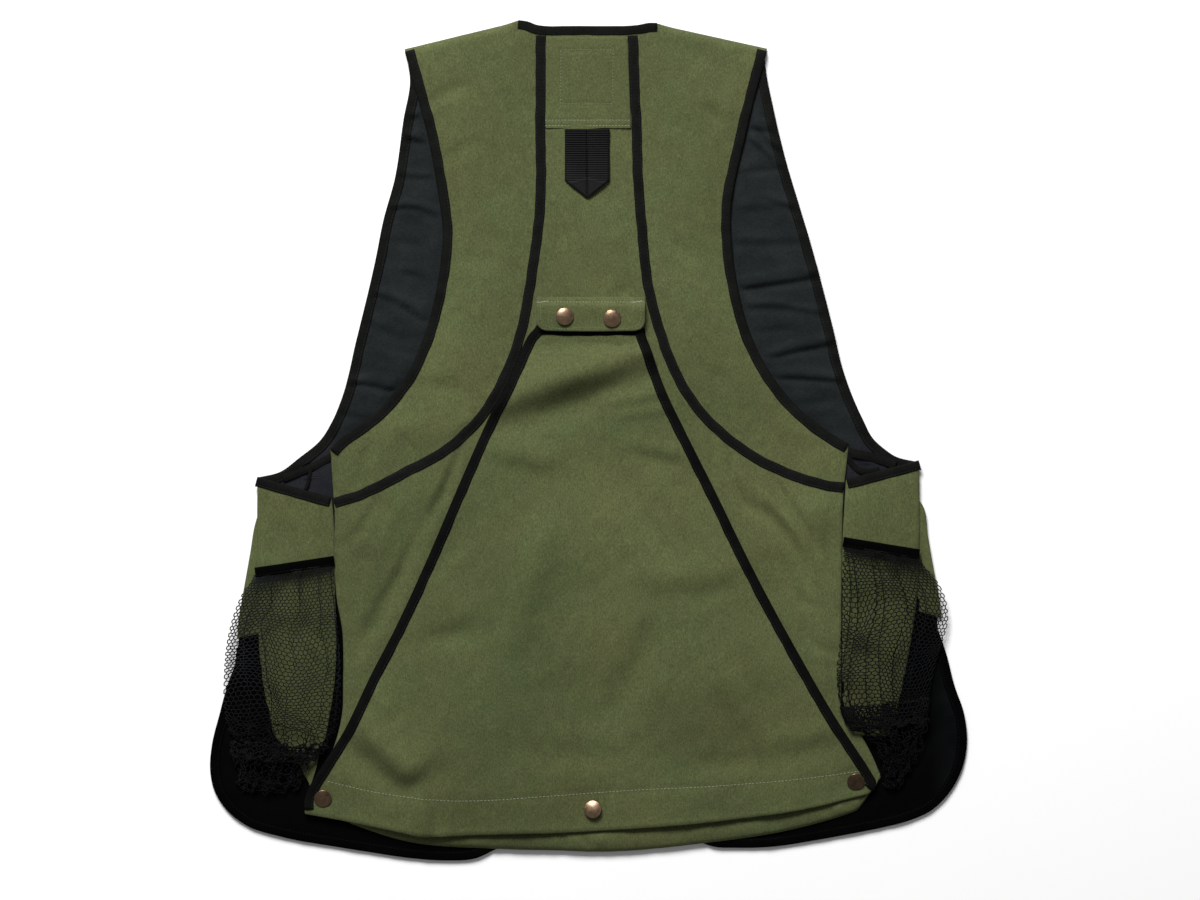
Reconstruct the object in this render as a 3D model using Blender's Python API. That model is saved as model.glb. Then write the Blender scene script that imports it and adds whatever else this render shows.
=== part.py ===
"""A dog training vest, laid flat on a table with its back up.

X runs to the right as one looks down on the back, Y towards the neck, Z up.
The table is at z = 0, and the origin is under the middle of the vest.
Sizes and places are in millimetres, and each mesh is made in metres.
"left" and "right" are the wearer's, which are also the viewer's.
"""

import math

import bmesh
import bpy
import numpy as np
from mathutils import Vector
from mathutils.bvhtree import BVHTree

MM = 0.001
SIDES = ("left", "right")

# Thicknesses of the cloths, and the gap between pieces that touch.
CANVAS = 1.4
SIDE_CANVAS = 1.2
TAB_CANVAS = 1.0
LINING = 1.1
TAPE = 0.9
NET = 1.0
WEBBING = 1.6
GAP = 0.3

# Binding tape folded over an edge: how far its face runs past the edge before it
# turns down, how far it stands out there, and how far above the cloth it starts to fall.
TAPE_WIDTH = 8.5
TAPE_PAST_EDGE = 0.15
TAPE_STANDS_OUT = 0.35 + TAPE
TAPE_FALL_START = 0.1

# Heights above the table of the upper face of each layer.
FRONT_TOP = CANVAS
LINING_TOP = FRONT_TOP + GAP + LINING
FRONT_TAPE_CLEAR = 0.2
TAB_TOP = LINING_TOP + GAP + TAB_CANVAS
BACK_UNDERSIDE = 4.5
BACK_TOP = BACK_UNDERSIDE + CANVAS
ON_BACK = BACK_TOP + GAP + CANVAS
ON_BINDING = BACK_TOP + GAP + TAPE + GAP + CANVAS
FLAP_TOP = ON_BACK + GAP + CANVAS
NET_ON_BACK = BACK_TOP + GAP + NET

# The two long seams from the neck to the underarm. Columns: x, y.
SEAM = {
    "left": (
        (-40.4, 351.0), (-40.8, 264.0), (-41.0, 200.0), (-45.0, 162.0), (-50.2, 128.0),
        (-56.5, 94.0), (-68.4, 60.0), (-86.7, 26.0), (-120.7, -8.0), (-151.3, -25.0),
        (-184.5, -42.0), (-194.2, -46.3), (-207.0, -50.6), (-215.5, -53.0),
    ),
    "right": (
        (37.4, 351.0), (39.6, 290.0), (40.8, 264.0), (42.5, 213.0), (45.5, 179.0),
        (48.5, 145.0), (55.2, 111.0), (65.9, 77.0), (81.6, 43.0), (109.7, 9.0),
        (131.3, -8.0), (161.9, -25.0), (185.0, -33.5), (205.0, -38.5), (216.3, -40.0),
    ),
}
# Rows along the seams: the first ones in millimetres from the neck, and the number in all.
SEAM_START = (0.0, 1.5, 5.0, 8.4)
SEAM_ROWS = 18

# The back's armhole edge, from the shoulder tip to the underarm. Columns: x, y.
BACK_ARMHOLE = {
    "left": (
        (-156.0, 332.5), (-146.6, 299.5), (-136.5, 262.0), (-127.5, 214.5), (-122.8, 173.0),
        (-124.5, 152.5), (-132.0, 111.0), (-141.5, 81.0), (-154.5, 54.0), (-162.5, 43.0),
        (-176.9, 26.0), (-198.9, 9.0), (-212.0, -0.5), (-218.5, -8.0),
    ),
    "right": (
        (151.5, 333.0), (132.2, 257.0), (120.3, 195.0), (123.7, 142.5), (146.5, 69.0),
        (180.0, 25.0), (203.0, 7.0), (220.5, -3.5),
    ),
}
SHOULDER_COLUMNS = 7

# The neck corner of each shoulder seam, and how sharply the top edge leaves the straight line.
NECK_CORNER = {"left": (-59.5, 356.0), "right": (58.2, 353.6)}
SHOULDER_TOP_FADE = 4
# The cloth rolls over the shoulder seam: the fall of its first rows, and how far out
# from the neck corner the roll is full.
ROLL_FALL = (4.6, 1.3)
ROLL_RUN = 14.0

# The back panel's sides below the long seams, down to the hem's corners. Columns: x, y.
BACK_SIDE = {
    "left": (
        (-214.9, -60.0), (-214.9, -114.0), (-212.9, -136.0), (-208.7, -160.0), (-207.8, -204.0),
        (-208.7, -232.0), (-212.5, -250.0), (-222.0, -276.0), (-231.0, -295.0), (-233.0, -311.0),
    ),
    "right": (
        (215.3, -60.0), (214.6, -100.0), (214.3, -150.0), (214.3, -200.0), (214.3, -225.0),
        (214.8, -234.0), (221.0, -241.5),
        (229.5, -248.5), (235.5, -258.0), (240.0, -267.0), (245.0, -278.5), (248.0, -287.5),
        (244.0, -294.0), (238.5, -299.5),
    ),
}
BACK_HEM = (
    (-233.0, -311.0), (-194.0, -328.0), (-157.7, -339.5), (-79.5, -346.5), (-24.0, -348.0),
    (7.2, -349.0), (95.6, -342.0), (173.8, -330.0), (228.0, -314.0), (238.5, -299.5),
)
BACK_HEM_FADE = 5
BACK_SIDE_ROWS = 9
BACK_COLUMNS = 15

# Side panels, back half: the edge at the side seam and the fold. Columns: x, y.
SIDE_INNER = {
    "left": (
        (-218.3, -49.0), (-216.7, -64.0), (-215.9, -80.0), (-215.6, -114.0), (-214.8, -192.0),
        (-216.5, -212.0), (-220.5, -236.0), (-223.5, -252.0), (-228.5, -265.0), (-231.0, -277.0),
        (-236.0, -293.0),
    ),
    "right": (
        (218.8, -33.5), (217.2, -60.0), (216.2, -76.0), (215.8, -136.0), (215.8, -187.0),
        (216.4, -221.0), (222.0, -238.0), (228.0, -250.0),
    ),
}
SIDE_OUTER = {
    "left": (
        (-281.0, -31.5), (-281.2, -67.0), (-281.4, -114.0), (-280.4, -152.0), (-279.4, -178.0),
        (-275.6, -212.0), (-271.0, -236.0), (-266.0, -252.0), (-252.0, -268.0), (-242.5, -283.5),
        (-237.8, -294.0),
    ),
    "right": (
        (280.4, -17.5), (281.0, -59.0), (280.6, -101.0), (278.4, -136.0), (272.4, -178.0),
        (266.5, -212.0), (261.5, -238.0), (256.0, -251.0),
    ),
}
SIDE_ROWS = 11
# Shares across the panel, the last ones close together at the fold.
SIDE_COLUMNS = (0.0, 0.25, 0.5, 0.75, 0.97, 1.0)
# The fold's edge falls this far, and further above the corner of the front half.
FOLD_FALL = 0.2
FOLD_FREE_FALL = 0.9
FOLD_FREE_RUN = 10.0
# The tongue sinks from the seam's height to lie on the lining. Columns: y, fall.
TONGUE_FALL = ((-160.0, 0.0), (-215.0, 1.6))

# Side panels, front half: the corner that shows outside the fold. Columns: x, y.
SIDE_TAB = {
    "left": (
        (-280.0, -62.0), (-282.5, -70.0), (-287.0, -96.0), (-292.8, -129.0), (-297.4, -158.0),
        (-297.9, -168.0), (-277.5, -166.5), (-260.0, -160.0), (-260.0, -66.0),
    ),
    "right": (
        (280.0, -50.0), (284.0, -56.0), (287.7, -79.5), (292.8, -109.0), (297.1, -131.0),
        (299.6, -150.0), (293.7, -152.6), (275.0, -150.0), (262.0, -140.0), (262.0, -54.0),
    ),
}

# Fronts: armhole, side, hem and inner edge. Columns: x, y.
FRONT_ARMHOLE = {
    "left": (
        (-153.0, 323.0), (-150.9, 307.0), (-156.4, 272.0), (-164.0, 221.0), (-173.4, 187.0),
        (-180.2, 153.0), (-196.4, 85.0), (-209.3, 34.0), (-216.2, 17.4), (-226.6, 0.4),
        (-245.4, -15.5), (-262.0, -27.5), (-280.0, -32.0),
    ),
    "right": (
        (149.0, 324.0), (150.8, 308.0), (154.7, 289.0), (166.6, 238.4), (176.8, 204.0),
        (187.0, 170.4), (205.3, 101.5), (217.2, 54.0), (231.6, 19.0), (241.8, 0.4),
        (250.5, -7.5), (260.0, -14.0), (279.5, -19.0),
    ),
}
FRONT_SIDE = {
    "left": ((-280.3, -66.0), (-286.5, -97.0), (-292.5, -135.0), (-296.5, -169.0)),
    "right": ((281.0, -54.0), (286.5, -80.0), (291.6, -109.0), (295.5, -150.0)),
}
FRONT_HEM = {
    "left": (
        (-297.9, -176.0), (-299.5, -190.0), (-305.0, -205.0), (-312.5, -232.0), (-319.3, -260.0),
        (-320.6, -280.0), (-317.3, -296.5), (-307.0, -313.0), (-290.0, -326.5), (-260.3, -336.0),
        (-213.6, -344.5), (-191.5, -348.0), (-148.3, -354.3), (-122.0, -356.0), (-96.5, -354.3),
        (-78.0, -346.0), (-49.5, -332.0), (-25.0, -308.0), (-11.5, -277.0),
    ),
    "right": (
        (296.8, -162.0), (302.5, -179.0), (310.5, -209.5), (318.0, -231.0), (320.5, -260.0),
        (318.0, -274.0), (304.5, -300.5), (289.5, -314.5), (272.5, -322.0), (247.5, -328.5),
        (222.0, -333.5), (190.8, -339.2), (156.0, -344.3), (124.5, -345.2), (106.7, -344.3),
        (95.0, -340.5), (69.0, -328.5), (40.0, -305.0), (17.0, -276.0),
    ),
}
FRONT_EDGE_X = 8.5
FRONT_EDGE_LOW_Y = -250.0
NECKLINE_LOW_Y = 247.0
# Front neckline, from the centre to the shoulder. Columns: x from the centre line, y.
FRONT_NECKLINE = ((16.0, 255.0), (37.0, 285.0), (53.0, 322.0), (61.0, 348.0))
FRONT_SHOULDER_TIP = {"left": (-152.0, 329.5), "right": (147.5, 330.3)}
FRONT_ARMHOLE_POINTS = 19
FRONT_HEM_POINTS = 30

# Neck edge of the back, and its tape, a little narrower than the others. Columns: x, y.
NECK_EDGE = (
    (-59.5, 356.0), (-52.0, 355.0), (-44.0, 352.0), (-36.0, 351.0), (-20.0, 351.0), (0.0, 351.0),
    (20.0, 351.0), (34.0, 351.2), (43.0, 352.0), (51.0, 353.6), (58.2, 353.6),
)
NECK_POINTS = 17
NECK_TAPE_WIDTH = 7.7

# Yoke: its upper and lower edges, and how far its sides stay inside the long seams.
YOKE_TOP_Y = 342.0
YOKE_LOW_Y = 265.0
YOKE_FROM_SEAM = 4.8
YOKE_ROWS = 4
YOKE_COLUMNS = 5

# Hanger loop: two runs of webbing side by side, joined at a pointed turn.
WEBBING_WIDTH = 18.6
WEBBING_APART = 1.0
LOOP_CENTRE_X = -1.0
LOOP_TOP_Y = 264.0
LOOP_SHOULDER_Y = 220.0
LOOP_POINT_Y = 205.0

# Flap: its sides, its upper and lower edges, the radius of its corners, the places of
# its rows below the upper edge, and where it comes down from the seam bindings.
FLAP_LEFT_X = -43.5
FLAP_RIGHT_X = 47.5
FLAP_TOP_Y = 121.5
FLAP_LOW_Y = 93.5
FLAP_CORNER = 5.0
FLAP_ROWS = (0.0, 3.0, 9.0, 15.0, 21.0, FLAP_TOP_Y - FLAP_LOW_Y)
FLAP_COLUMNS = 6
FLAP_DROP_START = 1.0
FLAP_DROP_RUN = 9.0

# Pouch: slanted sides and hem. Columns: x, y.
POUCH_SIDE = {
    "left": (
        (-41.0, 110.0), (-43.0, 96.0), (-49.8, 90.5), (-55.0, 77.0), (-61.8, 60.0),
        (-69.5, 43.0), (-78.7, 26.0), (-94.8, -8.0), (-110.1, -42.0), (-139.9, -110.0),
        (-163.7, -161.0), (-181.5, -195.0), (-206.2, -246.0), (-227.4, -280.0), (-236.0, -294.0),
        (-240.0, -304.0), (-240.0, -316.0),
    ),
    "right": (
        (44.5, 110.0), (46.0, 95.0), (52.3, 77.0), (64.2, 43.0), (80.4, 9.0),
        (105.9, -42.0), (139.0, -110.0), (175.6, -178.0), (215.5, -246.0), (227.5, -263.0),
        (239.0, -279.0), (241.5, -290.0), (237.6, -299.0),
    ),
}
POUCH_HEM = (
    (-240.0, -316.0), (-199.3, -324.5), (-139.8, -335.5), (-71.0, -333.0), (-24.0, -332.0),
    (37.0, -328.5), (115.0, -321.5), (192.5, -310.0), (237.6, -299.0),
)
POUCH_HEM_FADE = 6
POUCH_ROWS = 23
POUCH_COLUMNS = 19
# The pouch stands off the back: the share of its length that stays flat at the top, its
# rise at the slanted sides and in the middle, and powers that make each profile fuller
# as they fall below 1. The low power moves the highest place towards the hem.
POUCH_FLAT_TOP = 0.06
POUCH_SIDE_RISE = 6.6
POUCH_MIDDLE_RISE = 13.0
POUCH_SIDE_POWER = 0.6
POUCH_MIDDLE_POWER = 0.7
POUCH_ACROSS_POWER = 0.6
POUCH_LOW_POWER = 1.15
# How far the pouch hem lifts off the back between its snaps, over the last share of the
# panel's length. Columns: x, lift.
HEM_LIFT_SHARE = 0.14
HEM_LIFT = (
    (-240.0, 0.2), (-222.0, 0.0), (-205.0, 0.2), (-180.0, 2.5), (-140.0, 5.0), (-100.0, 2.0),
    (-60.0, 4.5), (-25.0, 2.0), (-10.0, 0.0), (12.0, 0.0), (40.0, 2.5), (85.0, 5.0),
    (125.0, 2.5), (170.0, 5.0), (205.0, 1.5), (218.0, 0.0), (232.0, 0.0), (242.0, 0.0),
)

# Net pockets: edge at the side seam and free outer edge. Columns: x, y.
NET_INNER = {
    "left": (
        (-216.0, -98.5), (-215.2, -120.0), (-212.5, -150.0), (-209.5, -185.0), (-209.5, -210.0),
        (-211.0, -234.0), (-217.5, -254.0), (-235.5, -274.0), (-247.5, -296.0),
    ),
    "right": (
        (216.5, -82.5), (215.5, -120.0), (214.8, -150.0), (214.8, -232.0), (219.0, -241.0),
        (237.0, -251.0), (250.5, -272.0), (252.0, -294.0),
    ),
}
NET_OUTER = {
    "left": (
        (-283.0, -108.5), (-284.5, -117.5), (-291.5, -127.0), (-298.0, -140.5), (-304.0, -160.0),
        (-307.5, -180.0), (-309.0, -203.5), (-309.0, -225.0), (-305.0, -250.0), (-295.0, -297.0),
    ),
    "right": (
        (281.0, -93.0), (283.0, -104.0), (293.0, -116.0), (301.5, -131.0), (304.7, -150.0),
        (297.4, -179.4), (290.6, -206.6), (286.5, -239.3), (277.0, -268.0), (265.0, -290.0),
    ),
}
NET_ROWS = 10
NET_COLUMNS = 9
# Rise of the net between its edges, and height of its outer edge. Columns: share down, rise, outer.
NET_SECTION = (
    (0.00, 6.2, 7.2),
    (0.12, 6.6, 7.0),
    (0.40, 7.0, 6.4),
    (0.75, 5.4, 6.0),
    (1.00, 1.2, 6.0),
)
NET_ACROSS_POWER = 0.45

# Snap caps: radius and height of each ring, from the rim to the crown.
SNAP_RINGS = ((7.4, 0.0), (7.4, 0.7), (6.7, 1.5), (5.4, 2.1), (3.0, 2.6))
SNAP_CROWN = 2.8
SNAP_SIDES = 20
# Snaps on the flap and on the pouch hem. Columns: name, x, y.
FLAP_SNAPS = (
    ("flap_snap_left", -20.0, 105.0),
    ("flap_snap_right", 20.0, 103.3),
)
HEM_SNAPS = (
    ("hem_snap_left", -224.2, -303.8),
    ("hem_snap_middle", 3.8, -312.5),
    ("hem_snap_right", 226.5, -288.5),
)

# Broad swellings of the back and shoulders. Columns: x, y, radius across, radius along, rise.
BACK_SWELLS = (
    (-95.0, 215.0, 26.0, 60.0, 3.2),
    (86.0, 225.0, 24.0, 60.0, 3.0),
    (-100.0, 105.0, 22.0, 34.0, 2.6),
    (96.0, 100.0, 22.0, 36.0, 2.8),
    (-168.0, 8.0, 20.0, 12.0, 1.6),
    (176.0, 8.0, 20.0, 12.0, 1.6),
    (-190.0, -78.0, 16.0, 22.0, 3.0),
    (190.0, -62.0, 18.0, 18.0, 3.2),
    (-194.0, -180.0, 9.0, 40.0, 1.6),
    (199.0, -180.0, 9.0, 30.0, 1.6),
)
# Creases of the back and shoulders. Columns: x, y, to x, to y, rise, half width.
BACK_CREASES = (
    (-133.0, 285.0, -98.0, 295.0, -2.0, 9.0),
    (104.0, 293.0, 114.0, 274.0, -2.0, 9.0),
    (112.0, -36.0, 172.0, -70.0, 2.2, 8.0),
    (-98.0, 20.0, -118.0, 6.0, 1.8, 8.0),
)
# Creases of the pouch, with the same columns.
POUCH_CREASES = (
    (44.0, 66.0, -22.0, 30.0, -2.6, 12.0),
    (-48.0, 16.0, -74.0, -30.0, -2.0, 8.0),
    (-186.0, -252.0, -160.0, -292.0, -3.0, 10.0),
    (-118.0, -268.0, -152.0, -296.0, -3.0, 10.0),
    (-151.0, -285.0, -135.0, -326.0, 2.5, 10.0),
    (60.0, -150.0, 20.0, -235.0, -2.2, 16.0),
    (-30.0, -60.0, -70.0, -190.0, 2.0, 18.0),
    (110.0, -190.0, 150.0, -262.0, 2.4, 14.0),
    (20.0, -20.0, 60.0, -90.0, -1.8, 14.0),
)
# Creases die out over this share of the pouch at its top, and this share at its hem.
CREASE_FADE_TOP = 0.1
CREASE_FADE_HEM = 1.0 / 6.0
CREASE_LEFT_AT_HEM = 0.3

# Colour, roughness and metallic value of each material.
FINISHES = {
    "canvas": ((0.100, 0.112, 0.045), 0.92, 0.0),
    "lining": ((0.012, 0.013, 0.016), 0.85, 0.0),
    "tape": ((0.010, 0.010, 0.012), 0.80, 0.0),
    "net": ((0.010, 0.010, 0.011), 0.80, 0.0),
    "webbing": ((0.012, 0.012, 0.013), 0.75, 0.0),
    "snap": ((0.300, 0.190, 0.120), 0.35, 1.0),
}
SHARP_ANGLE = math.radians(40)


def clear_scene():
    for thing in list(bpy.data.objects):
        bpy.data.objects.remove(thing, do_unlink=True)


def finish(thing, name):
    """Gives an object its own material and smooth shading."""
    colour, roughness, metallic = FINISHES[name]
    material = bpy.data.materials.new(thing.name + "_" + name)
    material.use_nodes = True
    shader = material.node_tree.nodes["Principled BSDF"]
    shader.inputs["Base Color"].default_value = (*colour, 1.0)
    shader.inputs["Roughness"].default_value = roughness
    shader.inputs["Metallic"].default_value = metallic
    thing.data.materials.append(material)
    thing.data.shade_smooth()
    thing.data.set_sharp_from_angle(angle=SHARP_ANGLE)


def lengths_along(path):
    steps = np.linalg.norm(np.diff(path, axis=0), axis=1)
    return np.concatenate([[0.0], np.cumsum(steps)])


def smooth_path(rows, per_span=14):
    """A smooth curve through the rows, as many close points."""
    points = np.array(rows, float)
    along = lengths_along(points)
    tangents = np.gradient(points, along, axis=0)
    path = [points[0]]
    for index in range(len(points) - 1):
        span = along[index + 1] - along[index]
        for step in range(1, per_span + 1):
            t = step / per_span
            start = (2 * t**3 - 3 * t**2 + 1) * points[index]
            leave = (t**3 - 2 * t**2 + t) * span * tangents[index]
            end = (3 * t**2 - 2 * t**3) * points[index + 1]
            arrive = (t**3 - t**2) * span * tangents[index + 1]
            path.append(start + leave + end + arrive)
    return np.array(path)


def at_shares(path, shares):
    """Points of the path at these shares of its length."""
    along = lengths_along(path)
    along /= along[-1]
    return np.stack([np.interp(shares, along, path[:, k]) for k in range(path.shape[1])], axis=1)


def even_points(rows, count):
    """Evenly spaced points on the smooth curve through the rows."""
    return at_shares(smooth_path(rows), np.linspace(0.0, 1.0, count))


def mouth_shares(path, count):
    """Even shares along a path, but for the second, which is a tape's width from the start."""
    start = TAPE_WIDTH / lengths_along(path)[-1]
    return np.concatenate([[0.0], np.linspace(start, 1.0, count - 1)])


def tangents_of(points):
    directions = np.gradient(points, axis=0)
    return directions / np.linalg.norm(directions, axis=1)[:, None]


def normals_of(points):
    """Unit plan normals of a plan curve, on the left as one follows it."""
    directions = tangents_of(points)
    return np.stack([-directions[:, 1], directions[:, 0]], axis=1)


def offset(points, distance, towards):
    """The points of a plan curve moved sideways, to the side of the point towards."""
    normals = normals_of(points)
    middle = len(points) // 2
    side = np.sign(np.dot(normals[middle], np.array(towards) - points[middle]))
    return points + normals * side * distance


def outward_normals(points, inner):
    """Unit plan normals of an edge that point away from the matching inner points."""
    normals = normals_of(points[:, :2])
    away = points[:, :2] - inner[:, :2]
    turned = np.sign((normals * away).sum(axis=1))
    return normals * turned[:, None]


def column_shares(left, right, count, left_inset, right_inset):
    """Shares across each row, with a column at the inset from either edge."""
    least_turn = 0.2
    most_share = 0.3
    across = right - left
    widths = np.linalg.norm(across, axis=1)
    left_tangents = tangents_of(left)
    right_tangents = tangents_of(right)
    shares = []
    for index, width in enumerate(widths):
        marks = []
        for tangent, inset in ((left_tangents[index], left_inset), (right_tangents[index], right_inset)):
            turn = abs(tangent[0] * across[index][1] - tangent[1] * across[index][0]) / width
            marks.append(min(inset / (width * max(turn, least_turn)), most_share))
        inside = np.linspace(marks[0], 1.0 - marks[1], count - 2)
        shares.append(np.concatenate([[0.0], inside, [1.0]]))
    return np.array(shares)


def follow_curve(grid, curve, shares, weights):
    """Moves rows of plan points so that the row of weight 1 lies on a curve between the rails."""
    chord = (curve - curve[0]) @ (curve[-1] - curve[0])
    chord = chord / chord[-1]
    for row, weight in enumerate(weights):
        straight = curve[0] + (curve[-1] - curve[0]) * shares[row][:, None]
        edge = np.stack([np.interp(shares[row], chord, curve[:, k]) for k in range(2)], axis=1)
        grid[row] += (edge - straight) * weight


def plan_grid(left, right, shares):
    """Plan points between two rails, at shares across each row."""
    return left[:, None, :] + (right - left)[:, None, :] * shares[:, :, None]


def relief(x, y, swells, creases):
    """Height of the broad swellings and the creases at a place."""
    height = 0.0
    for centre_x, centre_y, across, along, rise in swells:
        height += rise * math.exp(-(((x - centre_x) / across) ** 2) - ((y - centre_y) / along) ** 2)
    for from_x, from_y, to_x, to_y, rise, half_width in creases:
        run = np.array([to_x - from_x, to_y - from_y])
        place = np.array([x - from_x, y - from_y])
        share = min(max(float(place @ run) / float(run @ run), 0.0), 1.0)
        distance = float(np.linalg.norm(place - run * share))
        height += rise * math.exp(-((distance / half_width) ** 2))
    return height


def soft_step(value):
    """Rises smoothly from 0 to 1 as the value does."""
    value = min(max(value, 0.0), 1.0)
    return value * value * (3.0 - 2.0 * value)


def table_value(table, place, column):
    """A value between the rows of a table whose first column is the place."""
    return float(np.interp(place, [row[0] for row in table], [row[column] for row in table]))


def new_mesh(name, points, faces, material, wall=None):
    """An object from points in millimetres. With a wall, the open surface is thickened downwards."""
    mesh = bpy.data.meshes.new(name)
    mesh.from_pydata([tuple(float(v) * MM for v in point) for point in points], [], faces)
    thing = bpy.data.objects.new(name, mesh)
    bpy.context.scene.collection.objects.link(thing)
    shape = bmesh.new()
    shape.from_mesh(mesh)
    if wall is None:
        bmesh.ops.recalc_face_normals(shape, faces=shape.faces)
    elif sum(face.normal.z * face.calc_area() for face in shape.faces) < 0:
        bmesh.ops.reverse_faces(shape, faces=shape.faces)
    shape.to_mesh(mesh)
    shape.free()
    if wall is not None:
        thicken = thing.modifiers.new("wall", "SOLIDIFY")
        thicken.thickness = wall * MM
        thicken.offset = -1.0
    finish(thing, material)


def sheet(name, rows, wall, material):
    """A cloth wall under a grid of points, rows by columns."""
    rows = np.array(rows)
    count, across = rows.shape[:2]
    faces = []
    for row in range(count - 1):
        for column in range(across - 1):
            corner = row * across + column
            faces.append((corner, corner + 1, corner + across + 1, corner + across))
    new_mesh(name, rows.reshape(-1, 3), faces, material, wall)


def flat_piece(name, outline, top, wall, material):
    """A flat piece cut to a closed plan outline."""
    points = [(x, y, top) for x, y in outline]
    new_mesh(name, points, [tuple(range(len(points)))], material, wall)


def edge_tape(name, edge, inset, depth):
    """Tape folded over a cloth edge: a strip on the cloth, and a rim down past its side."""
    up = np.array([0.0, 0.0, 1.0])
    rows = []
    for point, inner, normal in zip(edge, inset, outward_normals(edge, inset)):
        out = np.array([normal[0], normal[1], 0.0])
        rows.append((
            inner + up * (GAP + TAPE),
            point + out * TAPE_PAST_EDGE + up * (GAP + TAPE),
            point + out * TAPE_STANDS_OUT + up * TAPE_FALL_START,
            point + out * TAPE_STANDS_OUT - up * depth,
        ))
    sheet(name, rows, TAPE, "tape")


def raised(points, height):
    """Plan points given one height."""
    return np.column_stack([points, np.full(len(points), height)])


def seam_shares(path):
    """Shares along an edge that starts at the neck: close rows there, and even ones after them."""
    start = np.array(SEAM_START) / lengths_along(path)[-1]
    rest = np.linspace(start[-1], 1.0, SEAM_ROWS - len(start) + 1)[1:]
    return np.concatenate([start, rest])


def seam_line(side, distance):
    """Points of a long seam moved sideways, towards the middle of the back when positive."""
    path = smooth_path(SEAM[side])
    points = at_shares(path, seam_shares(path))
    return offset(points, distance, (0.0, points[len(points) // 2][1]))


def back_height(x, y):
    """Upper face of the shoulders and the back panel."""
    return BACK_TOP + max(relief(x, y, BACK_SWELLS, BACK_CREASES), 0.0)


def make_back():
    rails = []
    for side in SIDES:
        lower = even_points(BACK_SIDE[side], BACK_SIDE_ROWS)
        rails.append(np.concatenate([seam_line(side, GAP / 2), lower]))
    shares = column_shares(*rails, BACK_COLUMNS, TAPE_WIDTH / 2, TAPE_WIDTH / 2)
    plan = plan_grid(*rails, shares)
    weights = np.linspace(0.0, 1.0, len(plan)) ** BACK_HEM_FADE
    follow_curve(plan, smooth_path(BACK_HEM), shares, weights)
    panel = np.array([[(x, y, back_height(x, y)) for x, y in row] for row in plan])
    sheet("back_panel", panel, CANVAS, "canvas")
    return panel


def make_shoulder(side):
    seam = seam_line(side, -GAP / 2)
    outer_path = smooth_path(BACK_ARMHOLE[side])
    outer = at_shares(outer_path, seam_shares(outer_path))
    shares = column_shares(outer, seam, SHOULDER_COLUMNS, TAPE_WIDTH, TAPE_WIDTH / 2)
    plan = plan_grid(outer, seam, shares)
    top = np.array([outer[0], NECK_CORNER[side], seam[0]])
    weights = (1.0 - seam_shares(smooth_path(SEAM[side]))) ** SHOULDER_TOP_FADE
    follow_curve(plan, top, shares, weights)
    corner = abs(NECK_CORNER[side][0])
    panel = []
    for row, points in enumerate(plan):
        fall = ROLL_FALL[row] if row < len(ROLL_FALL) else 0.0
        rolls = [fall * soft_step((abs(x) - corner) / ROLL_RUN) for x, _ in points]
        panel.append([(x, y, back_height(x, y) - roll) for (x, y), roll in zip(points, rolls)])
    panel = np.array(panel)
    sheet("shoulder_" + side, panel, CANVAS, "canvas")
    return panel


def make_back_bindings(side, shoulder, back):
    """Tape along the long seam, half on each of its two panels, and round the armhole."""
    first = len(SEAM_START) - 1
    near, far = (1, 0) if side == "left" else (-2, -1)
    strip = np.stack([
        shoulder[first:SEAM_ROWS, -2], shoulder[first:SEAM_ROWS, -1],
        back[first:SEAM_ROWS, far], back[first:SEAM_ROWS, near],
    ], axis=1)
    strip[:, :, 2] += GAP + TAPE
    sheet("seam_binding_" + side, strip, TAPE, "tape")
    below_roll = len(ROLL_FALL)
    edge_tape("armhole_binding_" + side, shoulder[below_roll:, 0], shoulder[below_roll:, 1], CANVAS)


def make_neck_binding():
    edge = even_points(NECK_EDGE, NECK_POINTS)
    inset = offset(edge, NECK_TAPE_WIDTH, (0.0, 0.0))
    edge_tape("neck_binding", raised(edge, BACK_TOP), raised(inset, BACK_TOP), CANVAS)


def seam_x(side, y):
    """Where the straight upper stretch of a long seam lies at a height y."""
    (top_x, top_y), (low_x, low_y) = SEAM[side][:2]
    return top_x + (low_x - top_x) * (top_y - y) / (top_y - low_y)


def make_yoke():
    rows = []
    for y in np.linspace(YOKE_TOP_Y, YOKE_LOW_Y, YOKE_ROWS):
        left_x = seam_x("left", y) + YOKE_FROM_SEAM
        right_x = seam_x("right", y) - YOKE_FROM_SEAM
        rows.append([(x, y, ON_BACK) for x in np.linspace(left_x, right_x, YOKE_COLUMNS)])
    sheet("neck_yoke", rows, CANVAS, "canvas")


def make_hanger_loop():
    half = WEBBING_APART / 2
    outer = half + WEBBING_WIDTH
    outline = (
        (-outer, LOOP_TOP_Y), (-outer, LOOP_SHOULDER_Y), (0.0, LOOP_POINT_Y),
        (outer, LOOP_SHOULDER_Y), (outer, LOOP_TOP_Y), (half, LOOP_TOP_Y),
        (half, LOOP_SHOULDER_Y), (-half, LOOP_SHOULDER_Y), (-half, LOOP_TOP_Y),
    )
    outline = [(x + LOOP_CENTRE_X, y) for x, y in outline]
    flat_piece("hanger_loop", outline, BACK_TOP + GAP + WEBBING, WEBBING, "webbing")


def side_height(y):
    """Upper face of a side panel, which is flat and then sinks along its tongue."""
    (high_y, _), (low_y, fall) = TONGUE_FALL
    return BACK_TOP - fall * soft_step((high_y - y) / (high_y - low_y))


def mouth_grid(inner_rows, outer_rows, count, columns):
    """Plan points of a panel whose mouth is bound: its shares down, and the points."""
    inner_path = smooth_path(inner_rows)
    outer_path = smooth_path(outer_rows)
    inner_shares = mouth_shares(inner_path, count)
    inner = at_shares(inner_path, inner_shares)
    outer = at_shares(outer_path, mouth_shares(outer_path, count))
    return inner_shares, plan_grid(inner, outer, np.tile(columns, (count, 1)))


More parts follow.
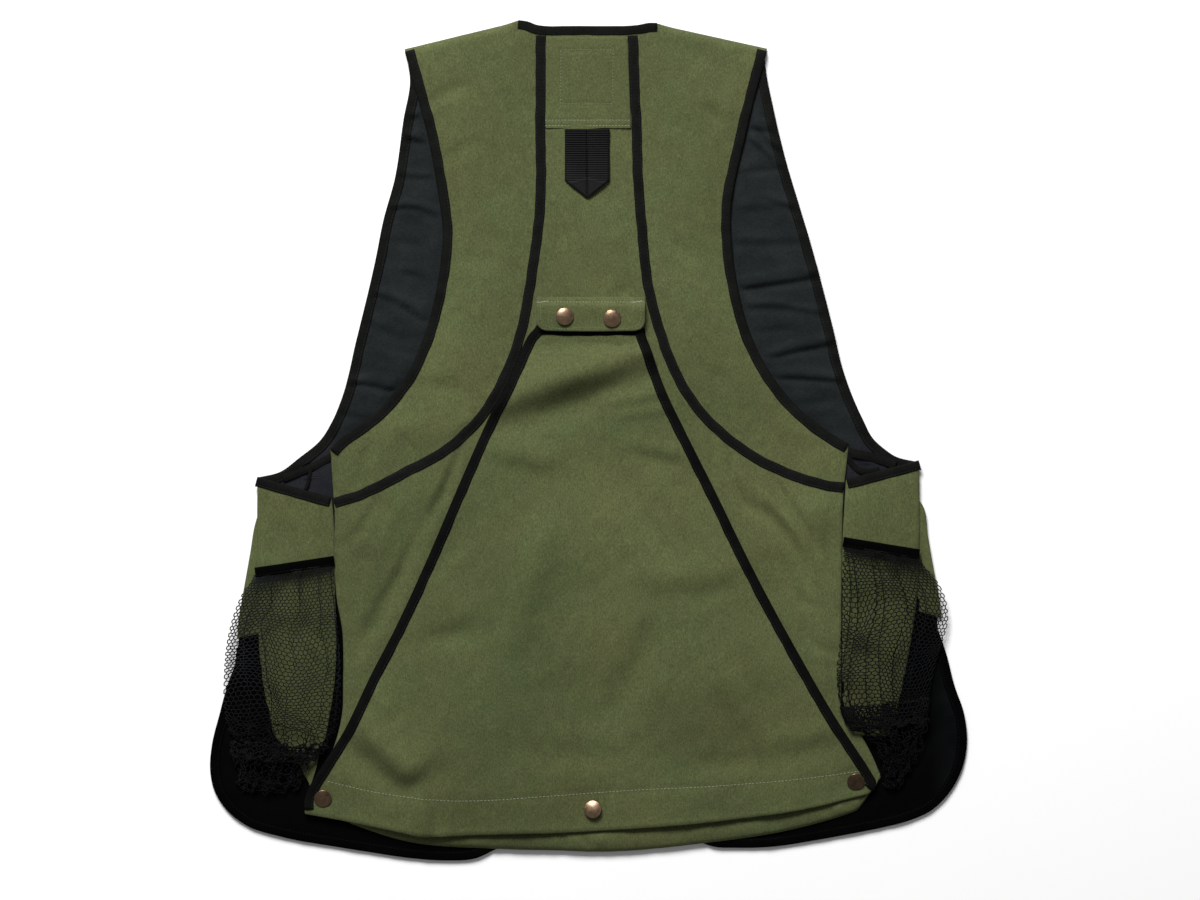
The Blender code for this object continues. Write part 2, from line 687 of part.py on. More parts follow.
def make_side(side):
    _, plan = mouth_grid(SIDE_INNER[side], SIDE_OUTER[side], SIDE_ROWS, SIDE_COLUMNS)
    panel = np.array([[(x, y, side_height(y)) for x, y in row] for row in plan])
    tab_top_y = SIDE_TAB[side][0][1]
    for row in panel:
        free = soft_step((row[-1][1] - tab_top_y) / FOLD_FREE_RUN)
        row[-1][2] -= FOLD_FALL + FOLD_FREE_FALL * free
    sheet("side_panel_" + side, panel, SIDE_CANVAS, "canvas")
    edge_tape("side_binding_" + side, panel[0, :-1], panel[1, :-1], CANVAS)
    flat_piece("side_tab_" + side, SIDE_TAB[side], TAB_TOP, TAB_CANVAS, "canvas")


def make_front(side):
    sign = -1.0 if side == "left" else 1.0
    edge_x = sign * FRONT_EDGE_X
    armhole = even_points(FRONT_ARMHOLE[side], FRONT_ARMHOLE_POINTS)
    hem = even_points(FRONT_HEM[side], FRONT_HEM_POINTS)
    outline = [FRONT_SHOULDER_TIP[side]]
    outline += [tuple(point) for point in armhole]
    outline += FRONT_SIDE[side]
    outline += [tuple(point) for point in hem]
    outline += [(edge_x, FRONT_EDGE_LOW_Y), (edge_x, NECKLINE_LOW_Y)]
    outline += [(sign * x, y) for x, y in FRONT_NECKLINE]
    flat_piece("front_" + side, outline, FRONT_TOP, CANVAS, "canvas")
    flat_piece("front_lining_" + side, outline, LINING_TOP, LINING, "lining")

    depth = LINING_TOP - FRONT_TAPE_CLEAR
    for name, edge in (("front_armhole_binding_", armhole), ("front_hem_binding_", hem)):
        inset = offset(edge, TAPE_WIDTH, (edge_x, 0.0))
        edge_tape(name + side, raised(edge, LINING_TOP), raised(inset, LINING_TOP), depth)


def make_zip():
    half = FRONT_EDGE_X - GAP
    rows = [[(x, y, FRONT_TOP) for x in (-half, half)] for y in (NECKLINE_LOW_Y, FRONT_EDGE_LOW_Y)]
    sheet("front_zip", rows, CANVAS, "tape")


def pouch_height(x, y, across, down):
    """Upper face of the pouch at a place, and at shares across and down the panel."""
    open_share = max(down - POUCH_FLAT_TOP, 0.0) / (1.0 - POUCH_FLAT_TOP)
    side = POUCH_SIDE_RISE * max(math.sin(math.pi * open_share), 0.0) ** POUCH_SIDE_POWER
    full = max(math.sin(math.pi * open_share**POUCH_LOW_POWER), 0.0)
    middle = POUCH_MIDDLE_RISE * full**POUCH_MIDDLE_POWER
    fullness = (4.0 * across * (1.0 - across)) ** POUCH_ACROSS_POWER
    height = side + (max(middle, side) - side) * fullness
    height += table_value(HEM_LIFT, x, 1) * soft_step(1.0 - (1.0 - down) / HEM_LIFT_SHARE)
    keep = soft_step(open_share / CREASE_FADE_TOP)
    keep *= soft_step((1.0 - down) / CREASE_FADE_HEM + CREASE_LEFT_AT_HEM)
    height += relief(x, y, (), POUCH_CREASES) * keep
    return ON_BACK + max(height, 0.0)


def make_pouch():
    rails = [even_points(POUCH_SIDE[side], POUCH_ROWS) for side in SIDES]
    downs = np.linspace(0.0, 1.0, POUCH_ROWS)
    shares = column_shares(*rails, POUCH_COLUMNS, TAPE_WIDTH, TAPE_WIDTH)
    plan = plan_grid(*rails, shares)
    follow_curve(plan, smooth_path(POUCH_HEM), shares, downs**POUCH_HEM_FADE)
    panel = []
    for points, across, down in zip(plan, shares, downs):
        panel.append([(x, y, pouch_height(x, y, share, down)) for (x, y), share in zip(points, across)])
    panel = np.array(panel)
    sheet("pouch_panel", panel, CANVAS, "canvas")
    edge_tape("pouch_binding_left", panel[1:-1, 0], panel[1:-1, 1], CANVAS)
    edge_tape("pouch_binding_right", panel[1:-1, -1], panel[1:-1, -2], CANVAS)
    return panel


def make_flap():
    """The flap is sewn over the seam bindings along its top, and lies on the pouch's upper edge."""
    rows = []
    for step in FLAP_ROWS:
        y = FLAP_TOP_Y - step
        z = ON_BINDING + (FLAP_TOP - ON_BINDING) * soft_step((step - FLAP_DROP_START) / FLAP_DROP_RUN)
        left_x, right_x = FLAP_LEFT_X, FLAP_RIGHT_X
        rest = FLAP_CORNER - (y - FLAP_LOW_Y)
        if rest > 0.0:
            pulled = FLAP_CORNER - math.sqrt(FLAP_CORNER**2 - rest**2)
            left_x += pulled
            right_x -= pulled
        rows.append([(x, y, z) for x in np.linspace(left_x, right_x, FLAP_COLUMNS)])
    sheet("pouch_flap", rows, CANVAS, "canvas")
    return np.array(rows)


def net_height(across, down):
    """Upper face of a net pocket at shares across and down it."""
    rise = table_value(NET_SECTION, down, 1)
    outer = table_value(NET_SECTION, down, 2)
    hump = max(math.sin(math.pi * across), 0.0) ** NET_ACROSS_POWER
    return NET_ON_BACK + (outer - NET_ON_BACK) * across + rise * hump


def make_net(side):
    columns = np.linspace(0.0, 1.0, NET_COLUMNS)
    downs, plan = mouth_grid(NET_INNER[side], NET_OUTER[side], NET_ROWS, columns)
    panel = []
    for points, down in zip(plan, downs):
        panel.append([(x, y, net_height(share, down)) for (x, y), share in zip(points, columns)])
    panel = np.array(panel)
    sheet("net_pocket_" + side, panel, NET, "net")
    edge_tape("net_binding_" + side, panel[0], panel[1], NET)


def surface_of(grid):
    """A search tree over a panel's upper face."""
    across = grid.shape[1]
    faces = []
    for row in range(grid.shape[0] - 1):
        for column in range(across - 1):
            corner = row * across + column
            faces.append((corner, corner + 1, corner + across + 1))
            faces.append((corner, corner + across + 1, corner + across))
    return BVHTree.FromPolygons([Vector(point) for point in grid.reshape(-1, 3)], faces)


def snap_ring(radius):
    """Plan points of a ring round a snap's axis."""
    turns = [2.0 * math.pi * step / SNAP_SIDES for step in range(SNAP_SIDES)]
    return [(radius * math.cos(turn), radius * math.sin(turn)) for turn in turns]


def seat_on(surface, x, y):
    """The plane, as slopes and height, that touches the cloth under a snap from above."""
    above = 100.0
    rim = SNAP_RINGS[0][0]
    rows = []
    heights = []
    for dx, dy in [(0.0, 0.0)] + snap_ring(rim / 2) + snap_ring(rim):
        hit = surface.ray_cast(Vector((x + dx, y + dy, above)), Vector((0.0, 0.0, -1.0)))[0]
        if hit is not None:
            rows.append((dx, dy, 1.0))
            heights.append(hit.z)
    rows = np.array(rows)
    heights = np.array(heights)
    slopes = np.linalg.lstsq(rows, heights, rcond=None)[0]
    return slopes[0], slopes[1], slopes[2] + float((heights - rows @ slopes).max())


def make_snap(name, x, y, surface):
    slope_x, slope_y, height = seat_on(surface, x, y)
    up = Vector((-slope_x, -slope_y, 1.0)).normalized()
    turn_up = Vector((0.0, 0.0, 1.0)).rotation_difference(up)
    base = Vector((x, y, height)) + up * GAP
    points = [(dx, dy, rise) for radius, rise in SNAP_RINGS for dx, dy in snap_ring(radius)]
    crown = len(points)
    points.append((0.0, 0.0, SNAP_CROWN))
    points = [base + turn_up @ Vector(point) for point in points]
    faces = [tuple(range(SNAP_SIDES))]
    for low in range(0, crown - SNAP_SIDES, SNAP_SIDES):
        for step in range(SNAP_SIDES):
            after = (step + 1) % SNAP_SIDES
            faces.append((low + step, low + after, low + SNAP_SIDES + after, low + SNAP_SIDES + step))
    high = crown - SNAP_SIDES
    for step in range(SNAP_SIDES):
        faces.append((high + step, high + (step + 1) % SNAP_SIDES, crown))
    new_mesh(name, points, faces, "snap")


def main():
    clear_scene()
    back = make_back()
    for side in SIDES:
        make_back_bindings(side, make_shoulder(side), back)
        make_side(side)
        make_front(side)
        make_net(side)
    make_neck_binding()
    make_yoke()
    make_hanger_loop()
    make_zip()
    pouch = surface_of(make_pouch())
    flap = surface_of(make_flap())
    for snap in FLAP_SNAPS:
        make_snap(*snap, flap)
    for snap in HEM_SNAPS:
        make_snap(*snap, pouch)


main()
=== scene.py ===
import math

import bpy
import numpy as np
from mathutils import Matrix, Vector
from mathutils.bvhtree import BVHTree
from mathutils.kdtree import KDTree


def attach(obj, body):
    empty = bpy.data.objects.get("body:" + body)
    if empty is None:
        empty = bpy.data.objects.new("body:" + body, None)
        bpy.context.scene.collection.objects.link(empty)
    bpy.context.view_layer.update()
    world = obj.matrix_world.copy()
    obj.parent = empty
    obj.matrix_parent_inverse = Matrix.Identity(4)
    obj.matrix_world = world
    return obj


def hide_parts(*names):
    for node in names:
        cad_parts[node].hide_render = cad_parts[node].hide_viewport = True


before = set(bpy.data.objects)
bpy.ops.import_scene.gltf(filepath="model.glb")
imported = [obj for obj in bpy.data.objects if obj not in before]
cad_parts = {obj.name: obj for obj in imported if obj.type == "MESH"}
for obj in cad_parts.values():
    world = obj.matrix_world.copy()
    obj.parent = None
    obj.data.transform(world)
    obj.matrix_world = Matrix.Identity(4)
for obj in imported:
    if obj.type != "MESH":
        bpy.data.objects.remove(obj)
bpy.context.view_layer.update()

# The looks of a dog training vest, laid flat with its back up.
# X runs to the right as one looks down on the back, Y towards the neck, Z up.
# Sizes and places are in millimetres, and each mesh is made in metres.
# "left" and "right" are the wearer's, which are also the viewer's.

MM = 0.001
SIDES = ("left", "right")
SIGN = {"left": -1.0, "right": 1.0}
FULL_TURN = 2.0 * math.pi
TINY = 1e-9
# Places towards which tapes lie: inside the back, inside the pouch, and this far below an edge.
LOW_BACK = (0.0, -100.0)
POUCH_MIDDLE = (0.0, -200.0)
BELOW = (0.0, 30.0)

# Thicknesses of the cloths, and the gap between pieces that touch.
CANVAS = 1.4
SIDE_CANVAS = 1.2
TAB_CANVAS = 1.0
LINING = 1.1
TAPE = 0.9
NET = 1.0
WEBBING = 1.6
GAP = 0.3
TAPE_WIDTH = 7.6

# Heights above the table of the upper face of each layer.
FRONT_TOP = CANVAS
LINING_TOP = FRONT_TOP + GAP + LINING
TAB_TOP = LINING_TOP + GAP + TAB_CANVAS
BACK_TOP = 4.5 + CANVAS
ON_BACK = BACK_TOP + GAP + CANVAS
ON_BINDING = BACK_TOP + GAP + TAPE + GAP + CANVAS
FLAP_TOP = ON_BACK + GAP + CANVAS
NET_ON_BACK = BACK_TOP + GAP + NET

# Spacing of the points of each cloth, and of the stations along each tape.
CLOTH_STEP = 3.0
LINING_STEP = 2.0
LINING_ACROSS = 6.0
SIDE_ALONG = 2.4
SIDE_ACROSS = 2.0
YOKE_STEP = 1.5
UNDERARM_STEP = 1.5
TAPE_STEP = 2.5
# Rows and columns of the grids that are made by number.
BACK_ROWS = 250
POUCH_ROWS = 150
FLAP_COLUMNS = 76
LOOP_ROWS = 230
LOOP_COLUMNS = 24
NET_ROWS = 86
NET_COLUMNS = 52

# Seeds of the uneven forms, which are higher on the right, and of the dark, black, pale and green threads.
SEEDS = {"back": 11, "shoulder": 21, "side": 41, "front": 61, "pouch": 81, "flap": 91, "yoke": 95, "net": 101}
RIGHT_SEED = 10
THREAD_SEEDS = (5, 8, 6, 7)
# Relief of the panels: rise inside the edges, run of that rise, the ripples' size, height and run
# from the edges, and height of the puckers along the edges.
RELIEF = {
    "back": (1.3, 26, ((70, 0.45, 26), (24, 0.12, 10)), 0.28),
    "side": (0.7, 18, ((40, 0.3, 18),), 0.2),
    "front": (0.9, 16, ((45, 0.35, 16), (15, 0.1, 16)), 0.15),
    "pouch": (0, 1, ((85, 0.5, 30), (26, 0.14, 12)), 0.3),
}
PUCKER_PITCHES = (15.0, 23.0, 37.0, 60.0)
PUCKER_REACH = 9.0
# How far creases may press the back below its level.
BACK_LOWEST = -0.5

# The two long seams from the neck to the underarm. Columns: x, y.
SEAM = {"left": (
    (-40.4, 351), (-40.8, 264), (-41, 200), (-45, 162), (-50.2, 128), (-56.5, 94), (-68.4, 60), (-86.7, 26),
    (-120.7, -8), (-151.3, -25), (-184.5, -42), (-194.2, -46.3), (-207, -50.6), (-215.5, -53),
), "right": (
    (37.4, 351), (39.6, 290), (40.8, 264), (42.5, 213), (45.5, 179), (48.5, 145), (55.2, 111), (65.9, 77),
    (81.6, 43), (109.7, 9), (131.3, -8), (161.9, -25), (185, -33.5), (205, -38.5), (216.3, -40),
)}
SEAM_TAPE_START = 6.0
ARMHOLE_TAPE_START = 1.6

# The back's armhole edge, from the shoulder tip to the underarm. Columns: x, y.
BACK_ARMHOLE = {"left": (
    (-156, 332.5), (-146.6, 299.5), (-136.5, 262), (-127.5, 214.5), (-122.8, 173), (-124.5, 152.5),
    (-132, 111), (-141.5, 81), (-154.5, 54), (-162.5, 43), (-176.9, 26), (-198.9, 9), (-212, -0.5),
    (-218.5, -8),
), "right": (
    (151.5, 333), (132.2, 257), (120.3, 195), (123.7, 142.5), (146.5, 69), (180, 25), (203, 7),
    (220.5, -3.5),
)}
NECK_CORNER = {"left": (-59.5, 356), "right": (58.2, 353.6)}
SHOULDER_TOP_FADE = 8
# The cloth rolls over the shoulder seam: how far it falls, and over which run.
ROLL_FALL = 4.6
ROLL_RUN = 2.6
ROLL_CORNER_RUN = 14.0

# The back panel's sides below the long seams, down to the hem's corners. Columns: x, y.
BACK_SIDE = {"left": (
    (-214.9, -60), (-214.9, -114), (-212.9, -136), (-208.7, -160), (-207.8, -204), (-208.7, -232),
    (-212.5, -250), (-222, -276), (-231, -295), (-233, -311),
), "right": (
    (215.3, -60), (214.6, -100), (214.3, -150), (214.3, -200), (214.3, -225), (214.8, -234), (221, -241.5),
    (229.5, -248.5), (235.5, -258), (240, -267), (245, -278.5), (247.6, -287), (241.5, -291),
    (238.5, -299.5),
)}
BACK_HEM = (
    (-233, -311), (-194, -328), (-157.7, -339.5), (-79.5, -346.5), (-24, -348), (7.2, -349), (95.6, -342),
    (173.8, -330), (202, -322.6), (222, -316.2), (228.5, -313.4), (231.5, -309.6), (238.5, -299.5),
)
BACK_HEM_FADE = 5
# Below this height over its hem the back lies flat under the pouch. The strip that shows rises
# by this much where it is this wide.
UNDER_HEM = 34.0
STRIP_RISE = 1.9
STRIP_GAP = 15.0

# Side panels, back half: the edge at the side seam and the fold. Columns: x, y.
SIDE_INNER = {"left": (
    (-218.3, -49), (-216.7, -64), (-215.9, -80), (-215.6, -114), (-214.8, -192), (-216.5, -212),
    (-220.5, -236), (-223.5, -252), (-228.5, -265), (-231, -277), (-236, -293),
), "right": (
    (218.8, -33.5), (217.2, -60), (216.2, -76), (215.8, -136), (215.8, -187), (216.4, -221), (222, -238),
    (228, -250),
)}
SIDE_OUTER = {"left": (
    (-281, -31.5), (-281.2, -67), (-281.4, -114), (-280.4, -152), (-279.4, -178), (-275.6, -212),
    (-271, -236), (-266, -252), (-252, -268), (-242.5, -283.5), (-237.8, -294),
), "right": (
    (280.4, -17.5), (281, -59), (280.6, -101), (278.4, -136), (272.4, -178), (266.5, -212), (261.5, -238),
    (256, -251),
)}
# The tongue sinks from the seam's height to lie on the lining. Columns: y, fall.
TONGUE_FALL = ((-160, 0), (-215, 1.6))
# How far the cloth falls towards the fold, and over which run.
SIDE_FOLD_FALL = 1.1
SIDE_FOLD_RUN = 3.4

# Side panels, front half: the corner that shows outside the fold. Columns: x, y.
SIDE_TAB = {"left": (
    (-280, -62), (-282.5, -70), (-287, -96), (-292.8, -129), (-297.4, -158), (-297.9, -168),
), "right": (
    (280, -50), (284, -56), (287.7, -79.5), (292.8, -109), (297.1, -131), (299.6, -150),
)}
SIDE_TAB_INNER = {"left": (
    (-262, -66), (-260, -110), (-260, -160),
), "right": (
    (262, -54), (262, -100), (262, -140),
)}

# Fronts: armhole, side, hem and inner edge. Columns: x, y.
FRONT_ARMHOLE = {"left": (
    (-153, 323), (-150.9, 307), (-156.4, 272), (-164, 221), (-173.4, 187), (-180.2, 153), (-196.4, 85),
    (-209.3, 34), (-216.2, 17.4), (-226.6, 0.4), (-245.4, -15.5), (-262, -27.5), (-280, -32),
), "right": (
    (149, 324), (150.8, 308), (154.7, 289), (166.6, 238.4), (176.8, 204), (187, 170.4), (205.3, 101.5),
    (217.2, 54), (231.6, 19), (241.8, 0.4), (250.5, -7.5), (260, -14), (279.5, -19),
)}
FRONT_SIDE = {"left": (
    (-280.3, -66), (-286.5, -97), (-292.5, -135), (-296.5, -169),
), "right": (
    (281, -54), (286.5, -80), (291.6, -109), (295.5, -150),
)}
FRONT_HEM = {"left": (
    (-297.9, -176), (-299.5, -190), (-305, -205), (-312.5, -232), (-319.3, -260), (-320.6, -280),
    (-317.3, -296.5), (-307, -313), (-290, -326.5), (-260.3, -336), (-213.6, -344.5), (-191.5, -348),
    (-148.3, -354.3), (-122, -356), (-96.5, -354.3), (-78, -346), (-49.5, -332), (-25, -308), (-11.5, -277),
), "right": (
    (296.8, -162), (302.5, -179), (310.5, -209.5), (318, -231), (320.5, -260), (318, -274), (304.5, -300.5),
    (289.5, -314.5), (272.5, -322), (247.5, -328.5), (222, -333.5), (190.8, -339.2), (156, -344.3),
    (124.5, -345.2), (106.7, -344.3), (95, -340.5), (69, -328.5), (40, -305), (17, -276),
)}
# Shares of the hem's length where its outer side ends and its inner side starts.
HEM_TURNS = (0.36, 0.84)
FRONT_HEM_FADE = 6
# How far out the middle of a front lies, which its tapes face.
FRONT_MIDDLE_X = 60.0
# Neckline and inner edge, from the shoulder down, on the right side.
FRONT_INNER = ((61, 348), (53, 322), (37, 285), (16, 255), (8.5, 247), (8.5, -250))
FRONT_SHOULDER_TIP = {"left": (-152, 329.5), "right": (147.5, 330.3)}

# Neck edge of the back, and its tape, a little narrower than the others. Columns: x, y.
NECK_EDGE = (
    (-59.5, 356), (-52, 355), (-44, 352), (-36, 351), (-20, 351), (0, 351), (20, 351), (34, 351.2),
    (43, 352), (51, 353.6), (58.2, 353.6),
)
NECK_TAPE_WIDTH = 7.0

# Where the back's armhole tape runs on over the lining, and a black strip of painted shadow beside it, in a
# fold of the lining.
# Columns: name, rows of x and y, width, height over the lining.
UNDERARM = {"left": (
    ("underarm_tape_", (
        (-214.5, -11.4), (-217.2, -12.9), (-227.9, -19.4), (-237.3, -23.6), (-250.3, -28.8), (-259.5, -32.6),
    ), 6.4, 1.3),
    ("underarm_shadow_", ((-236.4, -25), (-237.2, -31), (-238, -37), (-240.5, -42.5)), 3, 0.9),
), "right": (
    ("underarm_tape_", (
        (216, -7.2), (220.8, -9.9), (231.1, -11.8), (242.3, -14.6), (252.6, -17.9), (261, -21.1),
    ), 7.6, 1.3),
    ("underarm_shadow_", (
        (218, -10.4), (221.8, -16.9), (226.4, -22.5), (231.1, -25.6), (238.6, -26.4), (247, -24.6),
    ), 5.2, 0.9),
)}

# Yoke, its lower edge sewn twice, and the rectangle sewn in its middle.
YOKE_TOP_Y = 342.0
YOKE_LOW_Y = 265.0
YOKE_FROM_SEAM = 4.8
YOKE_ROWS_Y = (266.8, 271.5)
YOKE_BOX = (-23.4, 285.2, 20.8, 331.0)

# Hanger loop: two runs of webbing side by side, joined at a pointed turn.
WEBBING_WIDTH = 18.9
WEBBING_APART = 0.2
LOOP_CENTRE_X = -1.0
LOOP_TOP_Y = 264.0
LOOP_SHOULDER_Y = 220.0
LOOP_POINT_Y = 205.0
RIB_PITCH = 1.9
RIB_HEIGHT = 0.5

# Flap.
FLAP_LEFT_X = -43.5
FLAP_RIGHT_X = 47.5
FLAP_TOP_Y = 121.5
FLAP_LOW_Y = 93.5
FLAP_CORNER = 8.0
FLAP_DROP_START = 1.0
FLAP_DROP_RUN = 9.0
FLAP_SAG = 0.72
# Its pale stitches and their dent, the green ones inside its edge, and the tack at each upper corner.
FLAP_STITCH = ((-40.5, 117.5), (44.5, 117.2))
FLAP_GROOVE = ((-42.5, 117.5), (46.5, 117.2))
FLAP_OUTLINE = (
    (-40.3, 114), (-40.3, 103), (-38.7, 98.6), (-34.3, 96.6), (0, 96), (38.3, 96.4), (42.7, 98.4),
    (44.3, 103), (44.3, 114),
)
FLAP_TACKS = (((-43.5, 116.8), (-34.5, 117.8)), ((36.5, 116.8), (45.5, 117.8)))

# Pouch: slanted sides and hem. Columns: x, y.
POUCH_SIDE = {"left": (
    (-41, 110), (-44, 96), (-49.8, 89.5), (-56.2, 77), (-63.4, 60), (-71.2, 43), (-80.2, 26), (-95.9, -8),
    (-110.6, -42), (-139.9, -110), (-163.7, -161), (-181.5, -195), (-206.2, -246), (-227.4, -280),
    (-236, -294), (-240, -304), (-240, -316),
), "right": (
    (44.5, 110), (46, 95), (52.3, 77), (64.2, 43), (80.4, 9), (105.9, -42), (139, -110), (175.6, -178),
    (215.5, -246), (227.5, -264), (238.5, -281), (243.4, -291), (237.6, -299),
)}
POUCH_HEM = (
    (-240, -316), (-199.3, -323.5), (-152, -333.2), (-140.5, -335.6), (-128, -335.2), (-71, -333),
    (-24, -332), (37, -328.5), (115, -321.5), (192.5, -310), (237.6, -299),
)
POUCH_HEM_FADE = 6
POUCH_FLAT_TOP = 0.06
POUCH_SIDE_RISE = 6.6
POUCH_MIDDLE_RISE = 13.0
POUCH_SIDE_POWER = 0.6
POUCH_MIDDLE_POWER = 0.7
POUCH_ACROSS_POWER = 0.6
POUCH_LOW_POWER = 1.15
# How far the pouch hem lifts off the back between its snaps. Columns: x, lift.
HEM_LIFT_SHARE = 0.14
HEM_LIFT = (
    (-240, 0.2), (-222, 0), (-205, 0.2), (-180, 2.5), (-140, 5), (-100, 2), (-60, 4.5), (-25, 2), (-10, 0),
    (12, 0), (40, 2.5), (85, 5), (125, 2.5), (170, 5), (205, 1.5), (218, 0), (232, 0), (242, 0),
)
# The pouch's hem curves down over this run.
HEM_ROLL = 16.0
# The stitch line above the pouch hem. Columns: x, y.
POUCH_HEM_STITCH = (
    (-221.4, -288.6), (-189.1, -296.2), (-122.8, -304.7), (-24.2, -300.5), (37, -296.2), (115.2, -292),
    (206.1, -283.5), (230.8, -280.1),
)

# A black strip below the flap, partly the tape along the pouch's top and partly painted shadow of the flap.
# Columns: x, y.
POUCH_TOP_TAPE_AND_SHADOW = ((-44, 92.4), (-20, 91.6), (2, 91.2), (26, 91.6), (48, 92.2))

# Shares down the net pockets between which their tape lies.
NET_MOUTH = (0.0, 0.06)
# Net pockets: edge at the side seam and free outer edge. Columns: x, y.
NET_INNER = {"left": (
    (-216, -98.5), (-215.2, -120), (-212.5, -150), (-209.5, -185), (-209.5, -210), (-211, -234),
    (-217.5, -254), (-235.5, -274), (-247.5, -296),
), "right": (
    (216.5, -82.5), (215.5, -120), (214.8, -150), (214.8, -232), (219, -241), (237, -251), (250.5, -272),
    (252, -294),
)}
NET_OUTER = {"left": (
    (-283, -108.5), (-284.5, -117.5), (-291.5, -127), (-298, -140.5), (-304, -160), (-307.5, -180),
    (-309, -203.5), (-309, -225), (-305, -250), (-295, -297),
), "right": (
    (281, -93), (283, -104), (293, -116), (301.5, -131), (304.7, -150), (297.4, -179.4), (290.6, -206.6),
    (286.5, -239.3), (277, -268), (265, -290),
)}
# Rise of the net between its edges, and height of its outer edge. Columns: share down, rise, outer.
NET_SECTION = ((0, 6.2, 7.2), (0.12, 6.6, 7), (0.4, 7, 6.4), (0.75, 5.4, 6), (1, 1.2, 6))
NET_ACROSS_POWER = 0.45
# Course of the net: how far down the pocket its cloth lies, and how much higher than a
# single layer, where it is folded over itself near the bottom.
# Columns: share of the net's own length, share down the pocket, rise.
NET_COURSE = {"left": (
    (0, 0.03, 0), (0.06, 0.07, 0), (0.64, 0.78, 0), (0.69, 0.83, 0.4), (0.74, 0.78, 1.2), (0.8, 0.87, 1.8),
    (0.86, 0.83, 2.4), (0.93, 0.94, 1), (1, 1, 0),
), "right": (
    (0, 0.03, 0), (0.07, 0.07, 0), (0.54, 0.64, 0), (0.61, 0.7, 0.4), (0.66, 0.63, 1.3), (0.73, 0.74, 2),
    (0.8, 0.71, 2.6), (0.9, 0.88, 1), (1, 1, 0),
)}
NET_STRAND = {"left": 0.34, "right": 0.41}
# How much heavier the strands are where the net is drawn together, and over the tab on the left.
NET_DRAWN = 0.5
NET_OVER_TAB = 0.35
# Uneven waves of the net: what each adds to the net's seed, its size and its amount.
NET_WAVES = {
    "across": (0, 46, 0.03), "folds": (11, 70, 0.012), "down": (1, 50, 0.014), "rise": (2, 26, 0.9),
    "loose_x": (5, 11, 1.7), "loose_y": (6, 11, 1.7), "loose_rise": (7, 10, 0.8),
}
# Random amounts: shares across and down for each knot, and millimetres for a loose one.
NET_STRAY = (0.0022, 0.0012, 0.7)
# The net hangs loose from this share of its pocket down, and comes loose over this much of it.
NET_LOOSE_FROM = 0.62
NET_LOOSE_RUN = 0.2
# Small pleats below its mouth: how high, how close, and how soon they die out.
NET_PLEATS = (1.4, 17.0, 5.0)
# Over the tab on the left the strands get heavier from this share across, over this run.
NET_TAB_FROM = 0.62
NET_TAB_RUN = 0.2
# Upright folds of the net. Columns: share across, lean, half width, pull.
NET_FOLDS = {"left": (
    (0.04, 0.02, 0.012, 0.018), (0.16, -0.04, 0.014, 0.016), (0.44, 0.1, 0.014, 0.014),
    (0.63, -0.16, 0.014, 0.018), (0.8, -0.1, 0.014, 0.014),
), "right": (
    (0.05, 0, 0.012, 0.02), (0.15, 0.1, 0.014, 0.02), (0.3, -0.06, 0.014, 0.026), (0.42, 0.08, 0.014, 0.022),
    (0.56, -0.14, 0.014, 0.024), (0.76, -0.08, 0.014, 0.014),
)}
# Shares of the net's own length between which it is drawn together most, with heavier strands.
NET_GATHER = {"left": (0.62, 0.9), "right": (0.52, 0.86)}

# Snap caps: radius and height of each ring, from the foot of the post to the crown.
SNAP_RINGS = (
    (3.4, -2.2), (3.4, -0.1), (7.1, 0), (7.4, 0.15), (7.45, 0.45), (7.2, 0.75), (6.85, 0.84), (6.5, 0.9),
    (5.9, 1.12), (5, 1.38), (3.9, 1.6), (2.6, 1.78), (1.3, 1.9),
)
SNAP_CROWN = 1.94
SNAP_SIDES = 64
# Height of a cap over its cloth, and how much higher each slope of its lean sets it.
SNAP_LIFT = 0.05
SNAP_LEAN_REACH = 6.5
# Places under a cap where the cloth's height is taken: the sides and the radii of their rings.
SEAT_SIDES = 12
SEAT_RADII = (0.0, 3.6, 7.2)
# How much more than their cloth the caps slope up towards the right and towards the neck.
SNAP_LEANS = {
    "flap_snap_left": (-0.06, -0.1), "flap_snap_right": (-0.04, -0.07), "hem_snap_middle": (0.1, -0.26),
    "hem_snap_left": (0, 0.12), "hem_snap_right": (0.04, 0.24),
}
# Columns: name, x, y.
FLAP_SNAPS = (("flap_snap_left", -20, 105), ("flap_snap_right", 20, 103.3))
HEM_SNAPS = (
    ("hem_snap_left", -225, -303.2), ("hem_snap_middle", 3.8, -312.5), ("hem_snap_right", 226.5, -288.5),
)

# Stitches: share of the length and of the radius at each ring, and how flat they are.
STITCH_RINGS = ((-0.5, 0.35), (-0.34, 1.0), (0.34, 1.0), (0.5, 0.35))
STITCH_SIDES = 5
STITCH_FLATNESS = 0.8

# Broad swellings of the back and shoulders. Columns: x, y, radius across, radius along, rise.
BACK_SWELLS = (
    (164, -76, 40, 48, 2.6), (194, -166, 20, 26, 1.4), (-172, -112, 34, 60, 2.2), (-126, -34, 22, 30, 1.6),
    (-95, 215, 26, 60, 3.2), (86, 225, 24, 60, 3), (-100, 105, 22, 34, 2.6), (96, 100, 22, 36, 2.8),
    (-168, 8, 20, 12, 1.6), (176, 8, 20, 12, 1.6), (-190, -78, 16, 22, 3), (190, -62, 18, 18, 3.2),
    (-194, -180, 9, 40, 1.6), (199, -180, 9, 30, 1.6),
)
